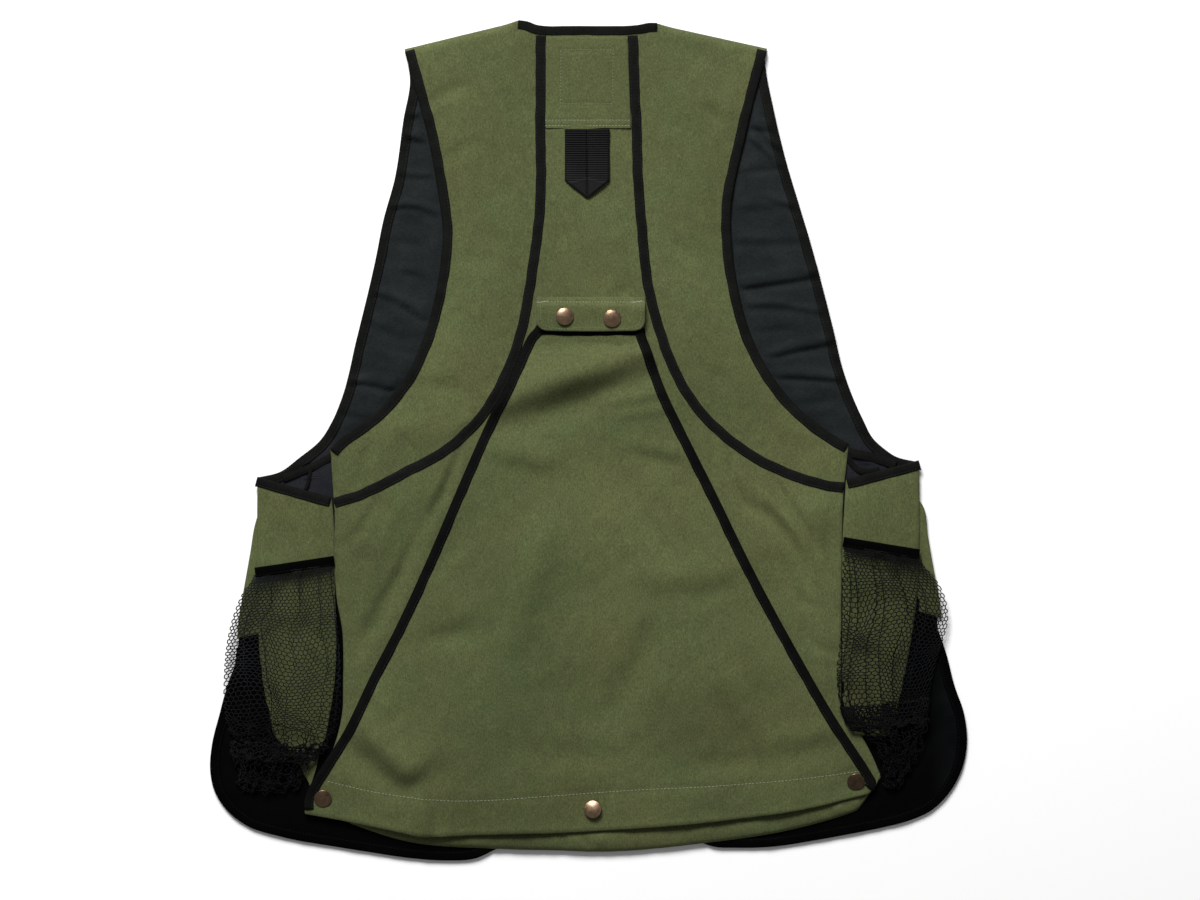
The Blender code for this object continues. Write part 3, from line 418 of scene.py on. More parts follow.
# Creases. Columns: x, y, to x, to y, bow to the left, rise, half width at each end.
BACK_CREASES = (
    (-109.4, -8, -141.5, -76, 3, -3.6, 4, 8), (-147.5, -84, -199.3, -180, 4, -4.5, 6, 10),
    (-178, -48, -203, -88, 3, -2.8, 5, 6), (-160, -50, -186, -120, 0, 1.7, 8, 10),
    (-126, -40, -150, -130, 0, 0.9, 8, 8), (102.4, 6, 107.5, -34, 0, -1.5, 3, 4),
    (117.7, -13.2, 136, -58, -4, -2, 4, 7), (131, -52, 180.6, -108, 9, -3.4, 6, 7),
    (155.9, -30.2, 196, -96, 0, -3.1, 5, 5), (143, -42, 188, -98, 4, 2.1, 5, 6),
    (201.4, -71.8, 208, -112, 0, -1.7, 5, 5), (174.8, -125, 202, -147, -3, -1.4, 6, 5),
    (184.3, -150, 213, -180.5, -10, -2.2, 4.5, 3.5), (176, -118, 198, -150, 2, 1.4, 6, 6),
    (36.1, 130.5, 20, 122.5, 0, -0.9, 6, 5), (10, 178, 38, 190, 0, -0.5, 7, 7),
    (-36, 150, -10, 158, 0, -0.4, 7, 8), (-205, -215, -212, -250, 0, -0.8, 4, 5),
)
HEM_TUCKS = (
    (-4, -336, 2, -348, 0, -2.2, 3, 3), (8, -334, 13, -346, 0, 1.6, 4, 3),
    (-24, -334, -16, -346, 0, -1.2, 4, 4), (101, -334, 106, -343, 0, -1.6, 3, 3),
    (214, -308, 226, -312, 0, -1.8, 2.5, 2.5), (196, -312, 210, -318, 0, -1.2, 3, 3),
)
SHOULDER_CREASES = (
    (-133, 287.7, -103, 301, 2, -2.2, 6, 8), (-90.5, 317.5, -75, 324, 0, -0.8, 6, 6),
    (-117.9, 239.3, -99, 253, 0, -1.6, 7, 8), (-109, 153.7, -78, 155, 0, -1.2, 8, 8),
    (-147.5, 48, -106, 43, 0, -1.6, 8, 11), (-178.5, 10, -197, -38, 0, -2.3, 6, 7),
    (-155, 8, -150, -16, 0, -1.4, 5, 5), (-98, 22, -118, 6, 0, 1.8, 8, 8),
    (100, 284, 112, 266, 0, -2.2, 6, 6), (90, 333, 106, 317, 0, -1.2, 6, 6),
    (66, 290, 80, 262, 0, -0.6, 8, 8), (70, 168, 100, 150, 0, -0.7, 8, 8), (92, 66, 120, 44, 0, -1.2, 8, 9),
    (170, 12, 186, -20, 0, -1.4, 7, 6),
)
# Folds: a ridge on the left and a trough on the right as one goes from the first end.
# Columns: x, y, to x, to y, bow to the left, rise, half width at each end.
POUCH_FOLDS = (
    (-79, 20, 68, 77, -2, 7.2, 13, 14.5), (12, 27, 64, 38, 0, 1.6, 6, 4.5), (10, 18, 70, 24, 0, 0.7, 4, 4),
    (-84, -12, -30, -24, 0, 1.3, 7, 8), (38, -7, 88, -19, 0, 1.3, 6, 6),
    (-205, -236, -153, -288, -4, 5, 14, 9), (-153, -290, -124, -270, 3, 1.7, 8, 10),
    (-131, -332, -138, -298, 0, 2.4, 5, 5), (-190, -214, -173, -232, 0, 1.3, 5, 5),
    (150, -262, 212, -249, -2, 1.4, 9, 8), (48, -122, 124, -116, -4, 1.5, 11, 9),
)
# The pouch stands off the back below its flap. Columns: x, y, across, along, rise.
POUCH_SWELLS = (
    (-4, 58, 62, 26, 3.4), (-50, -35, 80, 60, 3), (-95, -165, 60, 60, -3.4), (-150, -265, 40, 26, 1.6),
)
POUCH_CREASES = (
    (-143, -170, -86, -160, 0, -2.7, 12, 14), (60, -150, 20, -235, 0, -3.2, 16, 16),
    (-30, -60, -70, -190, 0, 3.2, 18, 16), (110, -190, 150, -262, 0, 3.6, 14, 14),
    (20, -20, 60, -90, 0, -2.4, 14, 14), (-100, -60, -130, -120, 0, -2, 10, 12),
    (-60, -262, 20, -268, 0, -1.9, 14, 14), (86, -276, 140, -270, 0, -2, 12, 10),
)
SIDE_CREASES = (
    (-255.4, -50, -242, -67, 0, -0.8, 5, 4), (-262, -60, -250, -98, 0, -0.5, 7, 7),
    (243, -48, 256, -90, 0, -0.6, 7, 7), (-246, -150, -224, -176, 0, -1.5, 6, 6),
    (-240, -178, -222, -200, 0, -1.2, 5, 5), (224, -130, 240, -165, 3, -1.5, 6, 7),
    (250, -190, 238, -232, 0, -1.2, 6, 6),
)
# Where the lining shows in an armhole it bulges and folds: from how far past the back's edge and
# over which run, and from which y and over which run.
LINING_SHOWN = (1.0, 7.0, 2.0, 12.0)
# Its least and greatest height over its level, and how much higher it may stand where it shows.
LINING_LIMITS = (-0.6, 1.5, 2.4)
# Folds of the lining in the armholes, as those of the pouch.
LINING_FOLDS = (
    (-150, 275.5, -130, 274, 0, 1.8, 2.4, 2.6), (-154, 257, -132, 251.5, 1, 2.8, 2.6, 3.6),
    (-162, 225.5, -126, 222.5, 0, 0.9, 2.4, 2.4), (-166, 197, -144, 197.5, 1.5, 1.4, 2.4, 2.4),
    (-146, 198.5, -121, 186, 1, 1.5, 2.4, 3), (-158, 144, -138, 138, 1, 0.8, 2.4, 3),
    (-181, 124.5, -152, 113, 1, 1.8, 2.4, 3.2), (-156, 115, -128, 97, 0, 3.1, 3, 4.4),
    (-188, 101, -158, 86, 2, 0.8, 3, 3.4), (-202, 48.5, -178, 48, 1, 1.8, 2.4, 3),
    (-182, 48.5, -152, 40, 0, 3.2, 3, 3.8), (134, 268, 152, 264, 0, 2.6, 3, 3.4),
    (132, 258, 158, 232, 3, 1.5, 2.6, 3), (146, 262, 162, 246, -1, 1.4, 2.2, 2.4),
    (122, 196, 172, 199, 1, 0.7, 3, 4), (150, 206, 178, 196, 0, 0.8, 2.2, 2.4),
    (122, 168, 186, 170, 0, 0.8, 3.4, 4), (121, 129, 194, 140.5, 0, 2.8, 3.2, 3.4),
    (125, 112, 168, 113.5, 1.5, 1.4, 3, 3.4), (166, 114, 202, 108, -1, 0.9, 2.4, 3),
    (156, 72, 208, 83.5, 1, 2.3, 2.6, 3.4), (156, 54.5, 212, 51, 1, 2.2, 2.6, 2.8),
    (-170, 305, -140, 300, 0, 0.6, 3, 3),
)
LINING_CREASES = (
    (-170, 170, -140, 164, 0, -0.9, 3, 4), (-170, 78, -142, 70, 0, -0.9, 4, 4),
    (-210, 22, -186, 16, 0, -1.2, 4, 5), (-238.4, -20, -237.6, -46, 1, -1.6, 2, 2.5),
    (-252, -26, -232, -14, 0, 0.9, 3, 3), (124, 226, 168, 231, 0, -1.2, 4, 4),
    (140, 92, 172, 94, 0, -1, 4, 4), (176, 30, 214, 34, 0, -1, 5, 5), (218.5, -8, 234, -30, 3, -1.7, 2, 2.5),
    (236, -14, 252, -26, -2, 1.2, 3, 3), (-306, -240, -262, -322, 6, -1.2, 8, 8),
    (262, -300, 300, -240, 5, -1.3, 8, 9), (276, -220, 300, -180, 0, 1, 8, 8),
)

# Cut of each cloth piece, in millimetres: width, length. Tapes are cut from the roll.
CUTS = {
    "back_panel": (510, 712), "shoulder": (190, 420), "neck_yoke": (76, 79), "side_panel": (72, 232),
    "side_tab": (42, 108), "front": (320, 708), "pouch_panel": (486, 456), "pouch_flap": (92, 32),
    "net_pocket": (98, 212),
}


# Curves and grids in plan

def lengths_along(path):
    steps = np.linalg.norm(np.diff(path, axis=0), axis=1)
    return np.concatenate([[0.0], np.cumsum(steps)])


def smooth(rows, per_span=14):
    """A smooth curve through the rows, as many close points."""
    points = np.array(rows, float)
    along = lengths_along(points)
    ways = np.gradient(points, along, axis=0)
    t = (np.arange(per_span)[:, None] + 1) / per_span
    path = [points[:1]]
    for start, end, span, leave, arrive in zip(points, points[1:], np.diff(along), ways, ways[1:]):
        path.append((2 * t**3 - 3 * t**2 + 1) * start + (t**3 - 2 * t**2 + t) * span * leave
                    + (3 * t**2 - 2 * t**3) * end + (t**3 - t**2) * span * arrive)
    return np.concatenate(path)


def at_shares(path, shares):
    """Points of the path at these shares of its length."""
    along = lengths_along(path)
    along /= along[-1]
    return np.stack([np.interp(shares, along, path[:, k]) for k in range(path.shape[1])], axis=-1)


def even(path, count):
    """So many points of the path, evenly spaced."""
    return at_shares(path, np.linspace(0.0, 1.0, count))


def stations(path, step=TAPE_STEP):
    """Points of the path about one step apart."""
    return even(path, max(int(round(lengths_along(path)[-1] / step)) + 1, 3))


def curve(rows, step=TAPE_STEP):
    """Points about one step apart on the smooth curve through the rows."""
    return stations(smooth(rows), step)


def normals_of(points):
    """Unit plan normals of a plan curve, on the left as one follows it."""
    directions = np.gradient(points, axis=0)
    directions /= np.linalg.norm(directions, axis=1)[:, None]
    return np.stack([-directions[:, 1], directions[:, 0]], axis=1)


def inward_normals(line, towards):
    """Unit plan normals of a line, on the side of one point or of the matching points."""
    normals = normals_of(line)
    turned = np.sign((normals * (towards - line)).sum(axis=1))
    turned[turned == 0] = 1.0
    return normals * turned[:, None]


def seam_line(side, distance):
    """Points of a long seam moved sideways, towards the middle of the back when positive."""
    points = curve(SEAM[side], CLOTH_STEP)
    return points + inward_normals(points, LOW_BACK) * distance


def plan_grid(left, right, step):
    """Plan points between two rails with as many rows, about one step apart across."""
    widest = np.linalg.norm(right - left, axis=1).max()
    shares = np.linspace(0.0, 1.0, max(int(round(widest / step)) + 1, 3))
    return left[:, None, :] + (right - left)[:, None, :] * shares[None, :, None], shares


def follow_path(grid, path, shares, weights):
    """Moves rows of plan points so that the row of weight 1 lies on a path between the rails."""
    chord = (path - path[0]) @ (path[-1] - path[0])
    straight = path[0] + (path[-1] - path[0]) * shares[:, None]
    edge = np.stack([np.interp(shares, chord / chord[-1], path[:, k]) for k in range(2)], axis=1)
    grid += (edge - straight)[None, :, :] * weights[:, None, None]


def table_value(table, place, column=1):
    """Values between the rows of a table whose first column is the place."""
    return np.interp(place, [row[0] for row in table], [row[column] for row in table])


def y_at(x, rows):
    """The y of a smooth curve, drawn from left to right, at these x."""
    return np.interp(x, *smooth(rows).T)


# Relief of the cloth

def soft_step(value):
    """Rises smoothly from 0 to 1 as the value does."""
    value = np.clip(value, 0.0, 1.0)
    return value * value * (3.0 - 2.0 * value)


def bell(value):
    """Falls smoothly from 1 at 0, as a bell does."""
    return np.exp(-(value**2))


def left_of(run):
    return np.array([-run[1], run[0]]) / np.linalg.norm(run)


def place_beside(plan, line):
    """Distance of plan points from a line of points, the share along it of the nearest place,
    and how far they lie to the left of its direction there."""
    nearest = np.full(plan.shape[:-1], np.inf)
    share = np.zeros(plan.shape[:-1])
    left = np.zeros(plan.shape[:-1])
    for index, (start, run) in enumerate(zip(line, np.diff(line, axis=0))):
        along = np.clip(((plan - start) @ run) / (run @ run), 0.0, 1.0)
        away = np.linalg.norm(plan - start - along[..., None] * run, axis=-1)
        closer = away < nearest
        nearest = np.where(closer, away, nearest)
        share = np.where(closer, (index + along) / (len(line) - 1), share)
        left = np.where(closer, (plan - start) @ left_of(run), left)
    return nearest, share, left


def bowed_line(x, y, to_x, to_y, bow):
    """Points from one end to the other, bowed to the left."""
    shares = np.linspace(0.0, 1.0, 9)[:, None]
    run = np.array([to_x - x, to_y - y])
    return np.array([x, y]) + run * shares + left_of(run) * bow * 4.0 * shares * (1.0 - shares)


def swell_relief(plan, swells):
    height = np.zeros(plan.shape[:-1])
    for x, y, across, along, rise in swells:
        height += rise * np.exp(-(((plan[..., 0] - x) / across) ** 2) - ((plan[..., 1] - y) / along) ** 2)
    return height


def crease_relief(plan, creases, folded=False):
    """Soft troughs and ridges that taper to their ends, with a faint lip on either side. A folded one
    has a ridge on the left of its line and a trough on the right, and is steep between them."""
    height = np.zeros(plan.shape[:-1])
    for *ends, rise, half, to_half in creases:
        away, share, left = place_beside(plan, bowed_line(*ends))
        wide = half + (to_half - half) * share
        taper = np.clip(np.sin(math.pi * (0.06 + 0.88 * share)), 0.0, 1.0)
        if folded:
            beyond = np.sqrt(np.maximum(away**2 - left**2, 0.0))
            step = left / wide * np.exp(0.5 - 0.5 * (left / wide) ** 2) + 0.6 * bell(left / wide / 2.5)
            height += rise * taper**0.4 * step * bell(beyond / wide)
        else:
            across = (away / wide) ** 2
            height += rise * taper**0.7 * np.exp(-across) * (1.0 - 0.55 * across)
    return height


def ripple(plan, seed, size, amount):
    """Uneven low waves, about one size long."""
    random = np.random.RandomState(seed)
    waves = 12
    height = np.zeros(plan.shape[:-1])
    for _ in range(waves):
        turn = random.uniform(0.0, FULL_TURN)
        pitch = FULL_TURN / (size * random.uniform(0.65, 1.7))
        phase = random.uniform(0.0, FULL_TURN)
        place = plan[..., 0] * math.cos(turn) + plan[..., 1] * math.sin(turn)
        height += np.sin(place * pitch + phase)
    return height * amount * math.sqrt(2.0 / waves)


def around(grid):
    """The points along the border of a grid, in order."""
    return np.concatenate([grid[0], grid[1:, -1], grid[-1, -2::-1], grid[-2:0:-1, 0]])


def from_border(plan):
    """Distance of each grid point from the panel's edge, and how far along the edge that is."""
    rim = around(plan)
    along = lengths_along(rim)
    tree = KDTree(len(rim))
    for index, (x, y) in enumerate(rim):
        tree.insert((x, y, 0.0), index)
    tree.balance()
    found = [tree.find((x, y, 0.0)) for x, y in plan.reshape(-1, 2)]
    away = np.array([distance for _, _, distance in found])
    place = along[[nearest for _, nearest, _ in found]]
    return away.reshape(plan.shape[:2]), place.reshape(plan.shape[:2])


def puckers(away, place, seed, amount):
    """Small uneven gathers along a sewn edge, which die out into the cloth."""
    random = np.random.RandomState(seed)
    wave = np.zeros(place.shape)
    for pitch in PUCKER_PITCHES:
        wave += np.sin(FULL_TURN * place / (pitch * random.uniform(0.9, 1.1)) + random.uniform(0.0, 6.3))
    return amount * wave / 2.0 * bell(away / PUCKER_REACH)


def groove(plan, line, depth, half):
    """The dent that a row of stitches pulls into the cloth."""
    return -depth * bell(place_beside(plan, np.array(line))[0] / half)


def snap_dents(plan, snaps, depth, reach):
    """The dents that snaps press into the cloth."""
    return -depth * sum(bell(np.linalg.norm(plan - place, axis=2) / reach) for _, *place in snaps)


# Meshes

def link(name, data):
    thing = bpy.data.objects.new(name, data)
    bpy.context.scene.collection.objects.link(thing)
    return thing


def new_piece(name, points, faces, look, node=None, uvs=None):
    """A piece of the vest from points in millimetres, in place of a CAD node."""
    mesh = bpy.data.meshes.new(name)
    mesh.from_pydata((np.asarray(points) * MM).tolist(), [], faces)
    mesh.validate()
    mesh.materials.append(LOOKS[look].material)
    if uvs is not None:
        layer = mesh.uv_layers.new(name="cloth")
        corners = np.empty(len(mesh.loops), np.int32)
        mesh.loops.foreach_get("vertex_index", corners)
        layer.data.foreach_set("uv", (uvs * MM)[corners].astype(np.float32).ravel())
    mesh.polygons.foreach_set("use_smooth", np.ones(len(mesh.polygons), bool))
    thing = link(name, mesh)
    if node:
        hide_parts(node)
    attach(thing, "root")
    return thing


def grid_faces(rows, columns, first=0, turned=False):
    index = first + np.arange(rows * columns).reshape(rows, columns)
    faces = np.stack([index[:-1, :-1], index[:-1, 1:], index[1:, 1:], index[1:, :-1]], axis=-1).reshape(-1, 4)
    return (faces[:, ::-1] if turned else faces).tolist()


def closed_faces(rows, columns, first, turned, ridge=False):
    """Faces of an upper grid of points, of the lower grid after it and of the rim between them,
    which has a ridge of its own points in the middle if so stated."""
    count = rows * columns
    rim = first + around(np.arange(count).reshape(rows, columns))
    rings = [rim, rim + count]
    if ridge:
        rings.insert(1, first + 2 * count + np.arange(len(rim)))
    faces = grid_faces(rows, columns, first, turned) + grid_faces(rows, columns, first + count, not turned)
    for upper, lower in zip(rings, rings[1:]):
        band = np.stack([upper, np.roll(upper, -1), np.roll(lower, -1), lower], axis=1)
        faces += (band if turned else band[:, ::-1]).tolist()
    return faces


def tube_faces(rings, sides, first=0):
    """Faces round a chain of rings of points, and over its two ends."""
    index = first + np.arange(rings * sides).reshape(rings, sides)
    after = np.roll(index, -1, axis=1)
    faces = np.stack([index[:-1], after[:-1], after[1:], index[1:]], axis=-1).reshape(-1, 4)
    return faces.tolist() + [index[0, ::-1].tolist(), index[-1].tolist()]


def shell(name, plan, height, look, node, wall=CANVAS, bulge=0.3):
    """A closed thin cloth with its upper face over a grid in plan, and a rounded rim."""
    top = np.dstack([plan, height])
    rows, columns = top.shape[:2]
    normals = np.cross(np.gradient(top, axis=1), np.gradient(top, axis=0))
    normals = normals / np.maximum(np.linalg.norm(normals, axis=2)[:, :, None], TINY)
    upwards = np.sign(normals[rows // 2, columns // 2, 2])
    normals *= upwards
    under = top - normals * wall
    rim = around(top)
    out = np.cross(np.roll(rim, -1, axis=0) - np.roll(rim, 1, axis=0), around(normals))
    out /= np.maximum(np.linalg.norm(out, axis=1)[:, None], TINY)
    if ((rim - top.reshape(-1, 3).mean(axis=0)) * out).sum() < 0:
        out = -out
    ridge = (rim + around(under)) / 2.0 + out * wall * bulge
    points = np.concatenate([top.reshape(-1, 3), under.reshape(-1, 3), ridge])
    return new_piece(name, points, closed_faces(rows, columns, 0, upwards < 0, True), look, node), top


class Surface:
    """The upper faces of some panels, for what lies on them."""

    def __init__(self, *grids):
        self.trees = [BVHTree.FromPolygons(grid.reshape(-1, 3).tolist(), grid_faces(*grid.shape[:2]))
                      for grid in grids]

    def height(self, x, y):
        hits = [tree.ray_cast(Vector((x, y, 100.0)), Vector((0.0, 0.0, -1.0)))[0] for tree in self.trees]
        found = [hit.z for hit in hits if hit is not None]
        if found:
            return max(found)
        near = [tree.find_nearest(Vector((x, y, BACK_TOP)))[0] for tree in self.trees]
        return min(near, key=lambda p: (p.x - x) ** 2 + (p.y - y) ** 2).z

    def heights(self, plan):
        return np.array([self.height(x, y) for x, y in plan.reshape(-1, 2)]).reshape(plan.shape[:-1])


# Tapes, folded over an edge or sewn flat. Columns: distance inwards from the line, height over the cloth.
EDGE_PROFILE = (
    (7.6, 0.42), (7.35, 0.75), (6.75, 0.88), (6.1, 0.84), (5.3, 1.08), (3.7, 1.26), (1.9, 1.26), (0.7, 1.16),
    (0, 0.92), (-0.5, 0.42), (-0.75, -0.3),
)
EDGE_UNDER = ((-0.25, 0), (-0.25, 0.2), (7.4, 0.2))
EDGE_STITCHES = ((6.15, 0.86),)
FLAT_PROFILE = (
    (4.25, 0.42), (4.05, 0.78), (3.45, 0.9), (2.8, 0.88), (2, 1.12), (0.7, 1.24), (-0.7, 1.24), (-2, 1.12),
    (-2.8, 0.88), (-3.45, 0.9), (-4.05, 0.78), (-4.25, 0.42),
)
FLAT_UNDER = ((-4.1, 0.2), (4.1, 0.2))
FLAT_STITCHES = ((3.0, 0.89), (-3.0, 0.89))
# Uneven waves along a tape: their pitches, and how far they move it sideways and swell it.
TAPE_PITCHES = (19.0, 31.0, 57.0)
TAPE_WANDER = 0.12
TAPE_PUFF = 0.05


def strip(name, line, towards, surface, look, seed, depth=None, width=TAPE_WIDTH, thread=None):
    """Tape along a line in plan, sewn down with the thread. It lies towards a point or the matching
    points, and with a depth it is folded over the edge and down past it."""
    folded = depth is not None
    inward = normals_of(line) if towards is None else inward_normals(line, towards)
    random = np.random.RandomState(seed)
    along = lengths_along(line)
    wander = np.zeros(len(line))
    puff = np.zeros(len(line))
    for pitch in TAPE_PITCHES:
        wander += np.sin(FULL_TURN * along / pitch + random.uniform(0.0, 6.3)) * TAPE_WANDER
        puff += np.sin(FULL_TURN * along / (pitch * 0.7) + random.uniform(0.0, 6.3)) * TAPE_PUFF
    section = np.array(FLAT_PROFILE + FLAT_UNDER)
    if folded:
        past = ((-0.75, -depth * 0.6), (-0.65, -depth), (-0.25, -depth))
        section = np.array(EDGE_PROFILE + past + EDGE_UNDER)
    reach = section[:, 0] * (width / TAPE_WIDTH)
    rise = section[:, 1]
    loose = np.clip(reach / width, 0.0, 1.0) if folded else np.ones(len(reach))
    shift = reach + wander[:, None] * loose
    footing = np.maximum(reach, 0.35) if folded else reach
    places = line[:, None, :] + inward[:, None, :] * shift[:, :, None]
    grounds = surface.heights(line[:, None, :] + inward[:, None, :] * footing[None, :, None])
    heights = grounds + rise * (1.0 + puff[:, None] * (rise > 0.3))
    points = np.dstack([places, heights])
    faces = tube_faces(*points.shape[:2])
    a, b, c = points[0, 0], points[0, 1], points[1, 1]
    if np.cross(b - a, c - b) @ ((a + b) / 2.0 - points[0].mean(axis=0)) <= 0:
        faces = [face[::-1] for face in faces]
    uvs = np.stack(np.broadcast_arrays(along[:, None], lengths_along(section)), axis=2).reshape(-1, 2)
    node = name.replace("tape", "binding")
    piece = new_piece(name, points.reshape(-1, 3), faces, look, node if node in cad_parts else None, uvs)
    if thread:
        for distance, lift in EDGE_STITCHES if folded else FLAT_STITCHES:
            thread.row(line + inward * distance, surface, lift)
    return piece


def circle(sides):
    """The cosine and sine at each of so many points round a circle."""
    turns = FULL_TURN * np.arange(sides) / sides
    return np.cos(turns), np.sin(turns)


class Thread:
    """Rows of small stitches, joined in one mesh."""

    def __init__(self, seed):
        self.random = np.random.RandomState(seed)
        self.points = []
        self.faces = []

    def stitch(self, middle, direction, length, radius):
        along = direction / np.linalg.norm(direction)
        flat = np.cross((0.0, 0.0, 1.0), along)
        flat /= np.linalg.norm(flat)
        cosines, sines = circle(STITCH_SIDES)
        rim = np.outer(cosines, flat) + np.outer(sines, np.cross(along, flat)) * STITCH_FLATNESS
        self.faces += tube_faces(len(STITCH_RINGS), STITCH_SIDES, len(self.points))
        for share, wide in STITCH_RINGS:
            self.points += list(middle + along * length * share + rim * radius * wide)

    def row(self, line, surface, lift, pitch=2.9, length=2.1, radius=0.27, slant=0.06):
        """Stitches along a line in plan, on a surface and lifted from it."""
        line = np.asarray(line)
        count = max(int(lengths_along(line)[-1] / pitch), 1)
        shares = (np.arange(count) + 0.5) / count
        shares += self.random.uniform(-0.06, 0.06, count) / count
        places = at_shares(line, shares)
        ahead = at_shares(line, np.minimum(shares + 0.4 / count, 1.0))
        behind = at_shares(line, np.maximum(shares - 0.4 / count, 0.0))
        for place, front, back in zip(places, ahead, behind):
            run = np.array([*(front - back), surface.height(*front) - surface.height(*back)])
            run[:2] += np.array([-run[1], run[0]]) * self.random.normal(0.0, slant)
            middle = np.array([*place, surface.height(*place) + lift])
            self.stitch(middle, run, length * self.random.uniform(0.9, 1.08), radius)

    def piece(self, name, look):
        return new_piece(name, self.points, self.faces, look)


# Materials

class Look:
    """A material made of nodes. Its slot is kept but not used."""

    def __init__(self, name, slot, roughness, specular, sheen=0.0, metallic=0.0):
        self.slot = slot
        self.material = bpy.data.materials.new(name)
        self.material.use_nodes = True
        self.tree = self.material.node_tree
        self.shader = self.tree.nodes["Principled BSDF"]
        self.fill(self.shader, {
            "Roughness": roughness, "Specular IOR Level": specular, "Metallic": metallic,
            "Sheen Weight": sheen, "Sheen Roughness": 0.45,
        })
        self.place = self.node("TexCoord", {}, "Object")

    def fill(self, node, inputs):
        for key, value in inputs.items():
            if isinstance(value, bpy.types.NodeSocket):
                self.tree.links.new(value, node.inputs[key])
            else:
                node.inputs[key].default_value = value

    def node(self, kind, inputs, output=0, **settings):
        """An output of a new node, whose inputs are values or outputs of other nodes."""
        node = self.tree.nodes.new("ShaderNode" + kind)
        for key, value in settings.items():
            setattr(node, key, value)
        self.fill(node, inputs)
        return node.outputs[output]

    def noise(self, scale, detail=2.0, rough=0.5, place=None):
        """Noise from 0 to 1. The scale is in cycles per metre, along each axis where it is three."""
        scale = scale if isinstance(scale, tuple) else (scale,) * 3
        place = self.place if place is None else place
        place = self.node("Mapping", {"Vector": place, "Scale": scale})
        inputs = {"Vector": place, "Scale": 1.0, "Detail": detail, "Roughness": rough}
        return self.node("TexNoise", inputs, "Fac")

    def spread(self, value, low=0.0, high=1.0):
        """A noise value mapped so that its usual range goes from low to high."""
        return self.node("MapRange", {0: value, 1: 0.3, 2: 0.7, 3: low, 4: high})

    def mottle(self, scale, low, high, detail=2.0, rough=0.5):
        """Noise that usually goes from low to high."""
        return self.spread(self.noise(scale, detail, rough), low, high)

    def fade(self, axis, start, end, before=0.0, after=1.0):
        """A value that changes smoothly between two places along an axis."""
        place = self.node("SeparateXYZ", {0: self.place}, axis)
        limits = {0: place, 1: start, 2: end, 3: before, 4: after}
        return self.node("MapRange", limits, interpolation_type="SMOOTHSTEP")

    def maths(self, operation, a, b=0.5):
        return self.node("Math", {0: a, 1: b}, operation=operation)

    def product(self, first, *others):
        for other in others:
            first = self.maths("MULTIPLY", first, other)
        return first

    def mix(self, factor, *colours):
        first, second = ((*colour, 1.0) if isinstance(colour, tuple) else colour for colour in colours)
        return self.node("Mix", {6: first, 7: second, 0: factor}, 2, data_type="RGBA")

    def weave(self, along, across, place=None):
        """Height of a plain weave, with so many threads per metre along and across."""
        waves = []
        for axis, threads in enumerate((along, across)):
            along_axis = self.node("SeparateXYZ", {0: self.place if place is None else place}, axis)
            waves.append(self.maths("SINE", self.product(along_axis, FULL_TURN * threads)))
        return self.product(*waves)

    def paint(self, colour, value=None, height=None, strength=0.0, distance=0.0):
        """Gives the shader its colour, brightened by the value, and its fine relief."""
        if value is not None:
            colour = self.node("HueSaturation", {"Color": colour, "Value": value})
        self.fill(self.shader, {"Base Color": colour})
        if height is not None:
            bump = self.node("Bump", {"Height": height, "Strength": strength, "Distance": distance})
            self.fill(self.shader, {"Normal": bump})
        return self


def canvas_look():
    """Olive cotton canvas: mottled dye, pale flecks along the threads and a fine weave."""
    look = Look("canvas", "canvas", 0.9, 0.08, sheen=0.05)
    colour = look.mix(look.mottle(55.0, 0.2, 0.8, 3.0, 0.6), (0.066, 0.087, 0.034), (0.075, 0.0857, 0.036))
    colour = look.mix(look.mottle((9.0, 11.0, 9.0), 0.0, 0.5), colour, (0.086, 0.084, 0.0335))
    broad = look.mottle(7.0, 0.88, 1.12, 1.0)
    middle = look.mottle((120.0, 90.0, 90.0), 0.93, 1.07, 3.0)
    warp = look.mottle((1000.0, 380.0, 400.0), 0.81, 1.19)
    speck = look.mottle((900.0, 800.0, 700.0), 0.80, 1.20)
    threads = look.product(look.weave(620.0, 560.0), 0.5)
    height = look.maths("ADD", threads, look.product(warp, 1.6))
    return look.paint(colour, look.product(broad, middle, warp, speck), height, 0.35, 0.0002)


def lining_look():
    """Black lining: greyer where light falls in at the armholes and underarms, painted shade low down,
    painted sheen at the far right.
    """
    look = Look("lining", "lining", 0.75, 0.03)
    # Painted shade: the lining is near black below this height, and greyer above it where light falls in.
    up = look.fade(1, -0.075, -0.045)
    under = look.fade(1, 0.012, -0.015)
    # Painted sheen: lighter patches on the low lining towards the far right.
    right = look.product(look.fade(0, 0.286, 0.314), look.mottle(20.0, 0.3, 1.0))
    low = look.mix(right, (0.0004, 0.0005, 0.0005), (0.0040, 0.0051, 0.0054))
    high = look.mix(under, (0.0122, 0.0146, 0.0150), (0.0125, 0.0135, 0.0158))
    grain = look.mottle((500.0, 900.0, 300.0), 0.80, 1.20)
    broad = look.mottle((40.0, 60.0, 60.0), 0.82, 1.18, 3.0)
    colour = look.mix(up, low, high)
    return look.paint(colour, look.product(grain, broad), look.weave(1100.0, 1000.0), 0.15, 0.0001)


TAPE_TONES = ((0.0033, 0.0037, 0.0032), (0.0064, 0.0071, 0.0059))


def tape_look(name, shade=1.0):
    """Black binding tape, with fine ribs across it. A shade below 1 gives a copy in painted shade."""
    look = Look(name, "tape", 0.78, 0.05 * shade)
    on_tape = look.node("TexCoord", {}, "UV")
    fleck = look.noise((900.0, 300.0, 1.0), place=on_tape)
    dark, light = (tuple(v * shade for v in tone) for tone in TAPE_TONES)
    ribs = look.maths("ADD", look.weave(700.0, 900.0, on_tape), fleck)
    colour = look.mix(look.spread(fleck), dark, light)
    return look.paint(colour, look.mottle(60.0, 0.8, 1.2), ribs, 0.3, 0.00015)


